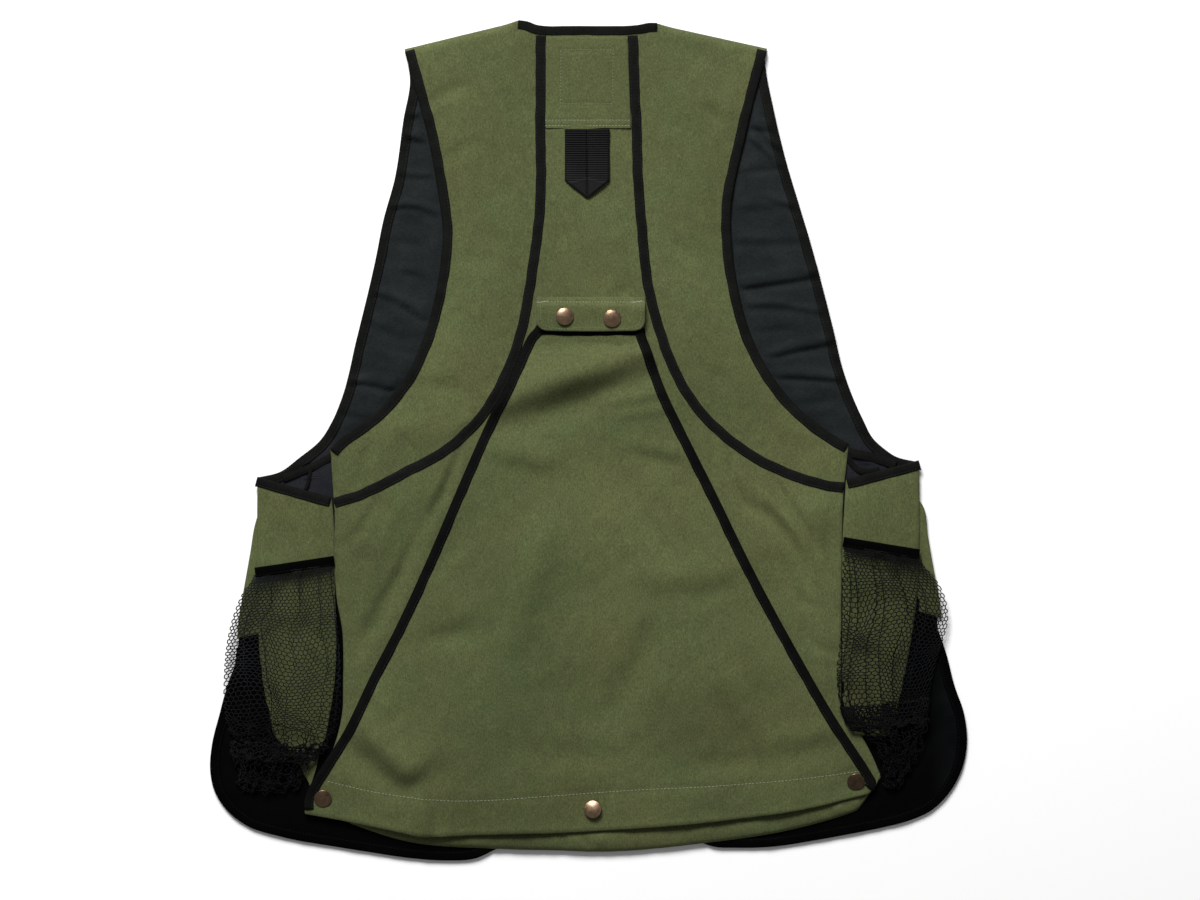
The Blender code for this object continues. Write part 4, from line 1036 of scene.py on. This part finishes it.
def plain_look(name, slot, dark, light, roughness, specular, sheen=0.0, grain=1800.0):
    """A thread or webbing colour with a little grain."""
    look = Look(name, slot, roughness, specular, sheen)
    fleck = look.noise(grain)
    return look.paint(look.mix(look.spread(fleck), dark, light), None, fleck, 0.25, 0.0002)


def net_look():
    """Black net, with painted shade where it is crumpled near its bottom and towards the right."""
    look = Look("net", "net", 0.7, 0.08)
    colour = look.mix(look.mottle(900.0, 0.0, 1.0), (0.0030, 0.0035, 0.0038), (0.0120, 0.0138, 0.0150))
    # Painted shade: darker low down where the net is crumpled, and darker towards the right.
    up = look.fade(1, -0.245, -0.185, 0.35, 1.0)
    shade_to_right = look.fade(0, -0.1, 0.1, 1.0, 0.55)
    return look.paint(colour, look.product(up, shade_to_right, look.mottle(80.0, 0.75, 1.25)))


def snap_look():
    """Antique copper plate, brushed, with painted shade on the two outer snaps of the hem for their dim
    reflections.
    """
    look = Look("snap_metal", "snap_metal", 0.34, 0.5, metallic=1.0)
    colour = look.mix(look.mottle(220.0, 0.0, 1.0, 4.0, 0.6), (0.215, 0.139, 0.084), (0.40, 0.270, 0.170))
    # Painted shade: the two outer hem snaps are made darker than the others.
    outer_shade = look.product(look.fade(0, -0.2, -0.1, 0.6, 1.0), look.fade(0, 0.1, 0.2, 1.0, 0.38))
    look.fill(look.shader, {"Roughness": look.mottle(900.0, 0.25, 0.38, 3.0)})
    return look.paint(colour, outer_shade, look.noise((2600.0, 700.0, 1200.0)), 0.12, 0.0001)


LOOKS = {
    "canvas": canvas_look(),
    "lining": lining_look(),
    "tape": tape_look("tape"),
    # Painted shade: the next two looks are the tape made darker for tapes in dimmer light, and the black
    # thread is the dark thread made darker for the stitches on those tapes.
    "pouch_tape": tape_look("pouch_tape", 0.6),
    "low_tape": tape_look("low_tape", 0.2),
    "net": net_look(),
    "webbing": plain_look("webbing", "webbing", (0.003, 0.003, 0.0034), (0.0085, 0.0085, 0.0095),
                          0.66, 0.1, 0.02, 1500.0),
    "dark": plain_look("dark_thread", "tape", (0.006, 0.006, 0.0066), (0.014, 0.014, 0.015), 0.7, 0.15),
    "black": plain_look("shaded_dark_thread", "tape", (0.001, 0.001, 0.0011), (0.003, 0.003, 0.0033), 0.7, 0.1),
    "pale": plain_look("pale_thread", "canvas", (0.17, 0.18, 0.12), (0.34, 0.35, 0.27), 0.7, 0.2, 0.1),
    "green": plain_look("green_thread", "canvas", (0.11, 0.125, 0.065), (0.20, 0.22, 0.13), 0.7, 0.2, 0.1),
    "snap": snap_look(),
}


# Panels

def seed_of(part, side="left"):
    return SEEDS[part] + RIGHT_SEED * (side == "right")


def relief(kind, plan, seed, gathered=1.0):
    """The rise of a panel inside its edges, with its ripples and the puckers along its edges."""
    rise, run, ripples, puckered = RELIEF[kind]
    away, place = from_border(plan)
    height = rise * soft_step(away / run)
    for extra, (size, amount, reach) in enumerate(ripples):
        height += ripple(plan, seed + extra, size, amount) * soft_step(away / reach)
    return height + puckers(away, place, seed + len(ripples), puckered * gathered)


def back_relief(plan, creases, seed):
    """Height of the back and shoulders over their flat level."""
    swells = np.maximum(swell_relief(plan, BACK_SWELLS), 0.0)
    return np.maximum(swells + relief("back", plan, seed) + crease_relief(plan, creases), BACK_LOWEST)


def make_back():
    """The back, whose hem lies flat and rolls up a little where it shows below the pouch."""
    sides = [np.concatenate([seam_line(side, GAP / 2), curve(BACK_SIDE[side], CLOTH_STEP)]) for side in SIDES]
    plan, shares = plan_grid(*(even(side, BACK_ROWS) for side in sides), CLOTH_STEP)
    follow_path(plan, smooth(BACK_HEM), shares, np.linspace(0.0, 1.0, len(plan)) ** BACK_HEM_FADE)
    x = plan[..., 0]
    low = y_at(x, BACK_HEM)
    up = plan[..., 1] - low
    gap = y_at(x, POUCH_HEM) - low
    share = np.clip(up / np.maximum(gap, 4.0), 0.0, 1.0)
    roll = np.sin(math.pi * share**1.3) * np.clip(gap / STRIP_GAP, 0.0, 1.0)
    tucks = 0.5 * np.sin(x / 9.0) * np.sin(x / 23.0 + 1.0) + crease_relief(plan, HEM_TUCKS)
    height = back_relief(plan, BACK_CREASES, seed_of("back"))
    flat = 0.1 + np.maximum(up - 18.0, 0.0) * 0.1
    height = np.where(up < UNDER_HEM, np.minimum(height, flat), height)
    height += (STRIP_RISE + tucks) * roll - bell(up / 1.6)
    return shell("back_cloth", plan, BACK_TOP + height, "canvas", "back_panel")


def make_shoulder(side):
    seam = seam_line(side, -GAP / 2)
    outer = even(smooth(BACK_ARMHOLE[side]), len(seam))
    plan, shares = plan_grid(outer, seam, CLOTH_STEP)
    top_edge = np.array([outer[0], NECK_CORNER[side], seam[0]])
    follow_path(plan, top_edge, shares, np.linspace(1.0, 0.0, len(seam)) ** SHOULDER_TOP_FADE)
    rolled = soft_step((np.abs(plan[..., 0]) - abs(NECK_CORNER[side][0])) / ROLL_CORNER_RUN)
    from_top = np.linalg.norm(plan - plan[:1], axis=2)
    height = back_relief(plan, SHOULDER_CREASES, seed_of("shoulder", side))
    height -= ROLL_FALL * rolled * bell(from_top / ROLL_RUN)
    return shell("shoulder_cloth_" + side, plan, BACK_TOP + height, "canvas", "shoulder_" + side)


def make_side(side):
    """The back half of a side panel, and the corner of its front half."""
    inner = curve(SIDE_INNER[side], SIDE_ALONG)
    plan, _ = plan_grid(inner, even(smooth(SIDE_OUTER[side]), len(inner)), SIDE_ACROSS)
    seed = seed_of("side", side)
    (high_y, _), (low_y, fall) = TONGUE_FALL
    sunk = fall * soft_step((high_y - plan[..., 1]) / (high_y - low_y))
    from_fold = np.linalg.norm(plan - plan[:, -1:], axis=2)
    rounded = SIDE_FOLD_FALL * np.clip(1.0 - from_fold / SIDE_FOLD_RUN, 0.0, 1.0) ** 2
    height = BACK_TOP - sunk + relief("side", plan, seed) + crease_relief(plan, SIDE_CREASES) - rounded
    panel, top = shell("side_cloth_" + side, plan, height, "canvas", "side_panel_" + side, SIDE_CANVAS)

    outer = stations(smooth(SIDE_TAB[side], 6), SIDE_ACROSS)
    plan, _ = plan_grid(even(np.array(SIDE_TAB_INNER[side]), len(outer)), outer, SIDE_ACROSS)
    height = TAB_TOP + ripple(plan, seed + 3, 30.0, 0.15)
    tab, _ = shell("side_corner_" + side, plan, height, "canvas", "side_tab_" + side, TAB_CANVAS)
    return panel, top, tab


def make_underarm(side):
    """The armhole tape's run over the lining, and a black strip of painted shadow that crosses the lining in
    a fold.
    """
    pieces = []
    for name, rows, wide, rise in UNDERARM[side]:
        line = curve(rows, UNDERARM_STEP)
        level = np.full(len(line), LINING_TOP + rise)
        rails = [np.column_stack([line + normals_of(line) * way, level]) for way in (12.0, -12.0)]
        wide *= TAPE_WIDTH / (2.0 * FLAT_PROFILE[0][0])
        pieces.append(strip(name + side, line, None, Surface(np.stack(rails)), "tape", 19, width=wide))
    return pieces


def front_rails(side):
    """Outer and inner rails of a front, from the shoulder to the hem, and the hem between them."""
    hem = smooth(FRONT_HEM[side])
    first, last = HEM_TURNS
    outer = np.concatenate([
        [FRONT_SHOULDER_TIP[side]], smooth(FRONT_ARMHOLE[side]), FRONT_SIDE[side],
        at_shares(hem, np.linspace(0.0, first, 40)),
    ])
    inner = [(x * SIGN[side], y) for x, y in FRONT_INNER]
    inner = np.concatenate([inner, at_shares(hem, np.linspace(1.0, last, 30))])
    rows = int(lengths_along(outer)[-1] / LINING_STEP)
    return even(outer, rows), even(inner, rows), at_shares(hem, np.linspace(first, last, 60))


def make_front(side):
    """The lining of a front, folded where the armhole shows it, and the plain canvas under it."""
    outer, inner, bottom = front_rails(side)
    plan, shares = plan_grid(outer, inner, LINING_ACROSS)
    follow_path(plan, bottom, shares, np.linspace(0.0, 1.0, len(plan)) ** FRONT_HEM_FADE)
    edge = smooth(BACK_ARMHOLE[side])[::-1]
    past = np.abs(plan[..., 0]) - np.abs(np.interp(plan[..., 1], edge[:, 1], edge[:, 0]))
    start, run, low_y, high_run = LINING_SHOWN
    shown = soft_step((past - start) / run) * soft_step((plan[..., 1] - low_y) / high_run)
    height = relief("front", plan, seed_of("front", side)) + crease_relief(plan, LINING_CREASES)
    height += (1.0 + crease_relief(plan, LINING_FOLDS, True)) * shown
    lowest, highest, higher_shown = LINING_LIMITS
    height = LINING_TOP + np.clip(height, lowest, highest + higher_shown * shown)
    lining, top = shell("lining_cloth_" + side, plan, height, "lining", "front_lining_" + side, LINING * 0.7)

    coarse = plan[::4, ::2]
    level = np.full(coarse.shape[:2], FRONT_TOP)
    front, _ = shell("front_cloth_" + side, coarse, level, "canvas", "front_" + side, CANVAS - 0.1, 0.0)
    return lining, top, front


def pouch_height(plan, across, down):
    """Upper face of the pouch at places, and at shares across and down the panel."""
    opened = np.maximum(down - POUCH_FLAT_TOP, 0.0) / (1.0 - POUCH_FLAT_TOP)
    side = POUCH_SIDE_RISE * np.maximum(np.sin(math.pi * opened), 0.0) ** POUCH_SIDE_POWER
    full = np.maximum(np.sin(math.pi * opened**POUCH_LOW_POWER), 0.0)
    middle = POUCH_MIDDLE_RISE * full**POUCH_MIDDLE_POWER
    fullness = (4.0 * across * (1.0 - across)) ** POUCH_ACROSS_POWER
    height = side + (np.maximum(middle, side) - side) * fullness
    lift = table_value(HEM_LIFT, plan[..., 0])
    height += lift * soft_step(1.0 - (1.0 - down) / HEM_LIFT_SHARE)
    keep = soft_step(opened * 12.0) * soft_step((1.0 - down) * 8.0 + 0.45)
    height += (crease_relief(plan, POUCH_CREASES) + swell_relief(plan, POUCH_SWELLS)) * keep
    up = np.maximum(plan[..., 1] - y_at(plan[..., 0], POUCH_HEM), 0.0)
    lip = 2.4 + 0.8 * lift
    rolled = np.clip(up / HEM_ROLL, 0.0, 1.0)
    risen = 0.5 * soft_step(rolled) + 0.5 * np.sin(0.5 * math.pi * rolled)
    height = lip + (height - lip) * risen - 1.5 * soft_step(1.0 - 16.0 * opened)
    folds = crease_relief(plan, POUCH_FOLDS, True)
    return height + folds * soft_step(opened * 40.0) * soft_step(0.1 + up / 8.0)


def make_pouch():
    rails = [even(smooth(POUCH_SIDE[side]), POUCH_ROWS) for side in SIDES]
    plan, shares = plan_grid(*rails, CLOTH_STEP)
    down = np.linspace(0.0, 1.0, POUCH_ROWS)
    follow_path(plan, smooth(POUCH_HEM), shares, down**POUCH_HEM_FADE)
    down = down[:, None]
    height = pouch_height(plan, shares[None, :], down)
    height += relief("pouch", plan, seed_of("pouch"), soft_step(down * 12.0 - 0.5))
    height += groove(plan, smooth(POUCH_HEM_STITCH, 3), 0.5, 1.8) + snap_dents(plan, HEM_SNAPS, 0.4, 14.0)
    return shell("pouch_cloth", plan, ON_BACK + np.maximum(height, 0.0), "canvas", "pouch_panel")


def make_flap():
    """The flap is sewn over the seam bindings along its top, and lies on the pouch's upper edge."""
    deep = FLAP_TOP_Y - FLAP_LOW_Y
    down = np.arange(0.0, deep + 0.01)[:, None]
    rest = np.maximum(FLAP_CORNER - (deep - down), 0.0)
    pulled = FLAP_CORNER - np.sqrt(np.maximum(FLAP_CORNER**2 - rest**2, 0.0))
    wide = FLAP_RIGHT_X - FLAP_LEFT_X
    x = FLAP_LEFT_X + pulled + (wide - 2.0 * pulled) * np.linspace(0.0, 1.0, FLAP_COLUMNS)
    sag = FLAP_SAG * np.sin(math.pi * (x - FLAP_LEFT_X) / wide) * down / deep
    plan = np.dstack([x, FLAP_TOP_Y - down - sag])
    level = ON_BINDING + (FLAP_TOP - ON_BINDING) * soft_step((down - FLAP_DROP_START) / FLAP_DROP_RUN)
    rise = 3.4 * soft_step(down / 8.0) - 1.4 * soft_step((down - 7.0) / 20.0) - 0.5 * bell(down / 1.2)
    corner = 1.6 * soft_step((x - 28.0) / 18.0) * soft_step(down / 12.0)
    height = level + rise + corner + ripple(plan, seed_of("flap"), 30.0, 0.16)
    height += groove(plan, FLAP_GROOVE, 0.7, 0.9) + snap_dents(plan, FLAP_SNAPS, 0.35, 11.0)
    return shell("flap_cloth", plan, height, "canvas", "pouch_flap", CANVAS, 0.45)


def box_line(box):
    left, low, right, high = box
    return np.array([(left, high), (right, high), (right, low), (left, low), (left, high)])


def make_yoke():
    """The yoke, with the dents of its stitches and a slight swell in its box."""
    ys = np.append(np.arange(YOKE_TOP_Y, YOKE_LOW_Y, -YOKE_STEP), YOKE_LOW_Y)
    rails = []
    for side in SIDES:
        (top_x, top_y), (low_x, low_y) = SEAM[side][:2]
        xs = top_x + (low_x - top_x) * (top_y - ys) / (top_y - low_y)
        rails.append(np.stack([xs - SIGN[side] * YOKE_FROM_SEAM, ys], axis=1))
    plan, _ = plan_grid(*rails, YOKE_STEP)
    left, low, right, high = YOKE_BOX
    across = (plan[..., 0] - (left + right) / 2.0) / 17.0
    along = (plan[..., 1] - (low + high) / 2.0) / 18.0
    height = 0.35 * np.exp(-(across**4) - along**4)
    height += ripple(plan, seed_of("yoke"), 34.0, 0.16) + groove(plan, box_line(YOKE_BOX), 0.4, 1.5)
    for y in YOKE_ROWS_Y:
        height += groove(plan, [(-45.0, y), (45.0, y)], 0.35, 1.1)
    return shell("yoke_cloth", plan, ON_BACK + height, "canvas", "neck_yoke")


def make_loop(surface):
    """Two ribbed webbings side by side, each folded to a point at its lower end."""
    across, down = np.meshgrid(np.linspace(0.0, 1.0, LOOP_COLUMNS), np.linspace(0.0, 1.0, LOOP_ROWS))
    low = LOOP_POINT_Y + (LOOP_SHOULDER_Y - LOOP_POINT_Y) * across
    y = LOOP_TOP_Y + (low - LOOP_TOP_Y) * down
    fold_line = LOOP_SHOULDER_Y + 2.0 - 5.0 * across
    turned = soft_step(fold_line - y + 0.5)
    straight = np.sin(FULL_TURN * y / RIB_PITCH)
    slanted = np.sin(FULL_TURN * (y - low) / (RIB_PITCH * 1.15))
    height = RIB_HEIGHT * (straight * (1.0 - turned) + 0.12 * slanted * turned)
    height += 0.2 + 0.55 * turned + 0.25 * bell((y - fold_line) / 1.2)
    edge = np.minimum(across, 1.0 - across) * WEBBING_WIDTH
    height -= 0.8 * bell(edge / 0.8) + 0.9 * bell(y - low)
    points = []
    faces = []
    for sign in (-1.0, 1.0):
        plan = np.dstack([LOOP_CENTRE_X + sign * (WEBBING_APART / 2 + WEBBING_WIDTH * across), y])
        seat = surface.heights(plan[::10]).max(axis=0) + GAP
        faces += closed_faces(*y.shape, len(points), sign > 0)
        for level in (seat + WEBBING + height, seat + 0.0 * height):
            points += np.dstack([plan, level]).reshape(-1, 3).tolist()
    return new_piece("loop_webbing", points, faces, "webbing", "hanger_loop")


# Net

def net_surface(side, across, down):
    """Places on a net pocket at shares across and down it."""
    inner, outer = (at_shares(smooth(table[side]), down) for table in (NET_INNER, NET_OUTER))
    edge = table_value(NET_SECTION, down, 2)
    hump = np.maximum(np.sin(math.pi * across), 0.0) ** NET_ACROSS_POWER
    height = NET_ON_BACK + (edge - NET_ON_BACK) * across + table_value(NET_SECTION, down) * hump
    return np.dstack([inner + (outer - inner) * across[..., None], height])


def bars(starts, ends, radius):
    """Thin four-sided bars between pairs of points, each closed, a little longer than its span."""
    runs = ends - starts
    along = runs / np.maximum(np.linalg.norm(runs, axis=1)[:, None], TINY)
    flat = np.cross((0.0, 0.0, 1.0), along)
    flat /= np.maximum(np.linalg.norm(flat, axis=1)[:, None], TINY)
    up = np.cross(along, flat)
    rims = [(flat * cosine + up * sine) * radius for cosine, sine in zip(*circle(4))]
    past = along * radius * 0.5
    points = np.stack([tip + rim for tip in (starts - past, ends + past) for rim in rims], axis=1)
    faces = np.array(tube_faces(2, 4)) + 8 * np.arange(len(starts))[:, None, None]
    return points.reshape(-1, 3), faces.reshape(-1, 4).tolist()


def make_net(side):
    """Knitted net: zigzag rows joined by short uprights, drawn into folds and gathered low down."""
    seed = seed_of("net", side)
    random = np.random.RandomState(seed)
    row, column = np.indices((NET_ROWS + 1, NET_COLUMNS + 1))
    upright = (row + column) % 2
    own_down = (row + upright / 3.0) / (NET_ROWS + 1.0 / 3.0)
    own_across = column / NET_COLUMNS
    own = np.dstack([own_across, own_down]) * CUTS["net_pocket"]
    free = np.sin(math.pi * own_across)

    def wave(kind):
        added, size, amount = NET_WAVES[kind]
        return ripple(own, seed + added, size, amount)

    across = own_across + wave("across") * free
    swung = own_across + wave("folds")
    for place, lean, half, pull in NET_FOLDS[side]:
        off = swung - place - lean * (own_down - 0.5)
        across -= pull * np.tanh(off / half) * bell(off / half / 3.0)
    across_stray, down_stray, loose_stray = NET_STRAY
    across = np.clip(across + random.normal(0.0, across_stray, across.shape), 0.0, 1.0)
    own_down = own_down + wave("down") * np.sin(math.pi * own_down)
    down = table_value(NET_COURSE[side], own_down)
    down = np.clip(down + random.normal(0.0, down_stray, down.shape), 0.0, 1.0)
    knots = net_surface(side, across, down)
    loose = soft_step((down - NET_LOOSE_FROM) / NET_LOOSE_RUN)
    for axis, kind in enumerate(("loose_x", "loose_y")):
        knots[..., axis] += loose * (wave(kind) + random.normal(0.0, loose_stray, down.shape))
    high, close, gone = NET_PLEATS
    pleats = high * np.abs(np.sin(own_across * close + 1.5 * own_down)) * np.exp(-own_down * gone)
    knots[..., 2] += table_value(NET_COURSE[side], own_down, 2) + wave("loose_rise") * loose
    knots[..., 2] += (pleats + wave("rise")) * free
    first, last = NET_GATHER[side]
    heavier = NET_DRAWN * soft_step(1.0 - np.abs(own_down - (first + last) / 2.0) * 2.0 / (last - first))
    if side == "left":
        heavier += NET_OVER_TAB * soft_step((own_across - NET_TAB_FROM) / NET_TAB_RUN)
    index = np.arange(row.size).reshape(row.shape)
    joined = upright[:-1] == 1
    starts = np.concatenate([index[:, :-1].ravel(), index[:-1][joined]])
    ends = np.concatenate([index[:, 1:].ravel(), index[1:][joined]])
    knots = knots.reshape(-1, 3)
    radius = NET_STRAND[side] * (1.0 + heavier.ravel()[starts, None])
    return new_piece("net_" + side, *bars(knots[starts], knots[ends], radius), "net", "net_pocket_" + side)


# Snaps

def seat_on(surface, x, y):
    """The slopes and height of the plane that touches the cloth under a snap."""
    ring = np.stack(circle(SEAT_SIDES), axis=1)
    spots = np.concatenate([ring * radius for radius in SEAT_RADII])
    heights = surface.heights(spots + (x, y))
    rows = np.column_stack([spots, np.ones(len(spots))])
    slopes = np.linalg.lstsq(rows, heights, rcond=None)[0]
    return slopes[:2], slopes[2] + (heights - rows @ slopes).max()


def make_snap(name, x, y, surface):
    """A cap on the plane that its cloth gives it, leant a little further."""
    slopes, height = seat_on(surface, x, y)
    up = Vector((*-(slopes + SNAP_LEANS[name]), 1.0)).normalized()
    turn_up = Vector((0.0, 0.0, 1.0)).rotation_difference(up)
    base = Vector((x, y, height)) + up * (SNAP_LIFT + SNAP_LEAN_REACH * math.hypot(*SNAP_LEANS[name]))
    round_it = list(zip(*circle(SNAP_SIDES)))
    points = [(radius * a, radius * b, rise) for radius, rise in SNAP_RINGS for a, b in round_it]
    crown = len(points)
    points = [tuple(base + turn_up @ Vector(point)) for point in (*points, (0.0, 0.0, SNAP_CROWN))]
    *faces, rim = tube_faces(len(SNAP_RINGS), SNAP_SIDES)
    faces += [(a, b, crown) for a, b in zip(rim, rim[1:] + rim[:1])]
    return new_piece(name + "_cap", points, faces, "snap", name)


# Stage

FLOOR_COLOUR = (0.93, 0.93, 0.93)
FLOOR_HALF = 6.0
FLOOR_Z = -0.0003
CAMERA_HEIGHT = 3.0
FRAME_WIDTH = 1.02
FRAME_CENTRE = (0.00978, -0.00808)
SENSOR = 36.0
# A large soft light above the neck, a little to the left, and an even sky.
KEY_PLACE = (-0.8, 3.0, 2.85)
KEY_SIZE = 2.0
KEY_POWER = 280.0
SKY = 0.22


def make_stage():
    mesh = bpy.data.meshes.new("floor")
    corners = ((-1, -1), (1, -1), (1, 1), (-1, 1))
    mesh.from_pydata([(x * FLOOR_HALF, y * FLOOR_HALF, FLOOR_Z) for x, y in corners], [], [(0, 1, 2, 3)])
    mesh.materials.append(Look("floor", None, 0.9, 0.1).paint((*FLOOR_COLOUR, 1.0)).material)
    floor = link("floor", mesh)

    camera = link("camera", bpy.data.cameras.new("camera"))
    camera.location = (*FRAME_CENTRE, CAMERA_HEIGHT)
    camera.data.sensor_width = SENSOR
    camera.data.lens = SENSOR * CAMERA_HEIGHT / FRAME_WIDTH
    camera.data.clip_end = 50.0

    light = link("key", bpy.data.lights.new("key", "AREA"))
    light.location = KEY_PLACE
    light.data.shape = "DISK"
    light.data.size = KEY_SIZE
    light.data.energy = KEY_POWER
    light.rotation_euler = (-Vector(KEY_PLACE)).to_track_quat("-Z", "Y").to_euler()

    world = bpy.data.worlds.new("studio")
    world.use_nodes = True
    world.node_tree.nodes["Background"].inputs["Color"].default_value = (1.0, 1.0, 1.0, 1.0)
    world.node_tree.nodes["Background"].inputs["Strength"].default_value = SKY
    scene = bpy.context.scene
    scene.camera = camera
    scene.world = world
    scene.view_settings.view_transform = "Standard"


def make_half(side, back_top, dark, black):
    """All that lies on one side of the back. Returns the seam tape, which is sewn to the back."""
    shoulder, shoulder_top = make_shoulder(side)
    line = curve(SEAM[side])
    line = line[lengths_along(line) >= SEAM_TAPE_START]
    both = Surface(back_top, shoulder_top)
    seam = strip("seam_tape_" + side, line, LOW_BACK, both, "tape", 11, thread=dark)

    edge = curve(BACK_ARMHOLE[side])
    edge = edge[lengths_along(edge) >= ARMHOLE_TAPE_START]
    beside = even(smooth(SEAM[side]), len(edge))
    only = Surface(shoulder_top)
    armhole = strip("armhole_tape_" + side, edge, beside, only, "tape", 12, CANVAS, thread=dark)

    panel, panel_top, tab = make_side(side)
    edge = stations(panel_top[0, :, :2])
    only = Surface(panel_top)
    mouth = strip("side_tape_" + side, edge, edge - BELOW, only, "tape", 13, CANVAS, thread=dark)

    lining, lining_top, front = make_front(side)
    only = Surface(lining_top)
    tapes = []
    for part, table, middle_y, look, seed, thread in (
        ("armhole", FRONT_ARMHOLE, 0.0, "tape", 14, dark), ("hem", FRONT_HEM, -200.0, "low_tape", 15, black),
    ):
        name = "front_" + part + "_tape_" + side
        middle = (SIGN[side] * FRONT_MIDDLE_X, middle_y)
        edge = curve(table[side])
        tapes.append(strip(name, edge, middle, only, look, seed, LINING_TOP - GAP, thread=thread))
    tapes + make_underarm(side)

    net = make_net(side)
    top = net_surface(side, *np.meshgrid(np.linspace(0.0, 1.0, 60), NET_MOUTH))
    edge = stations(top[0, :, :2])
    band = strip("net_tape_" + side, edge, edge - BELOW, Surface(top), "low_tape", 16, NET, thread=black)
    return seam


def main():
    make_stage()
    back, back_top = make_back()
    dark, black, pale, green = (Thread(seed) for seed in THREAD_SEEDS)
    back_pieces = [make_half(side, back_top, dark, black) for side in SIDES]

    pouch, pouch_top = make_pouch()
    on_pouch = Surface(pouch_top)
    pouch_pieces = []
    for side, column in zip(SIDES, (0, -1)):
        edge = stations(pouch_top[4:-1, column, :2])
        name = "pouch_tape_" + side
        pouch_pieces.append(strip(name, edge, POUCH_MIDDLE, on_pouch, "pouch_tape", 17, CANVAS, thread=dark))
    pale.row(smooth(POUCH_HEM_STITCH), on_pouch, 0.12, pitch=3.1, length=2.0, radius=0.24)
    # A black strip under the flap: partly tape, partly painted shadow of the flap.
    edge = stations(np.array(POUCH_TOP_TAPE_AND_SHADOW))
    pouch_pieces.append(strip("pouch_tape_top", edge, None, on_pouch, "low_tape", 20, width=4.6))

    flap, flap_top = make_flap()
    on_flap = Surface(flap_top)
    pale.row(FLAP_STITCH, on_flap, 0.10, pitch=2.6, length=1.4, radius=0.22)
    green.row(smooth(FLAP_OUTLINE), on_flap, 0.08, pitch=2.6, length=1.6, radius=0.22)
    for tack in FLAP_TACKS:
        pale.row(tack, on_flap, 0.2, pitch=1.0, length=2.4, slant=0.9)

    yoke, yoke_top = make_yoke()
    on_yoke = Surface(yoke_top)
    for y in YOKE_ROWS_Y:
        pale.row([(-37.0, y), (35.5, y)], on_yoke, 0.12, pitch=2.6, length=1.8)
    green.row(box_line(YOKE_BOX), on_yoke, 0.16, pitch=2.7, length=1.7, radius=0.30)

    edge = curve(NECK_EDGE)
    on_back = Surface(back_top)
    back_pieces.append(strip("neck_tape", edge, edge - BELOW, on_back, "tape", 18, CANVAS, NECK_TAPE_WIDTH))
    back_pieces.append(make_loop(on_back))

    pouch_pieces += [make_snap(*snap, on_pouch) for snap in HEM_SNAPS]
    flap_caps = [make_snap(*snap, on_flap) for snap in FLAP_SNAPS]
    dark.piece("tape_stitches", "dark")
    black.piece("shaded_low_stitches", "black")
    pale_piece = pale.piece("pale_stitches", "pale")
    green_piece = green.piece("flap_stitches", "green")
    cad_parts["front_zip"].data.materials.clear()
    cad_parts["front_zip"].data.materials.append(LOOKS["tape"].material)


main()
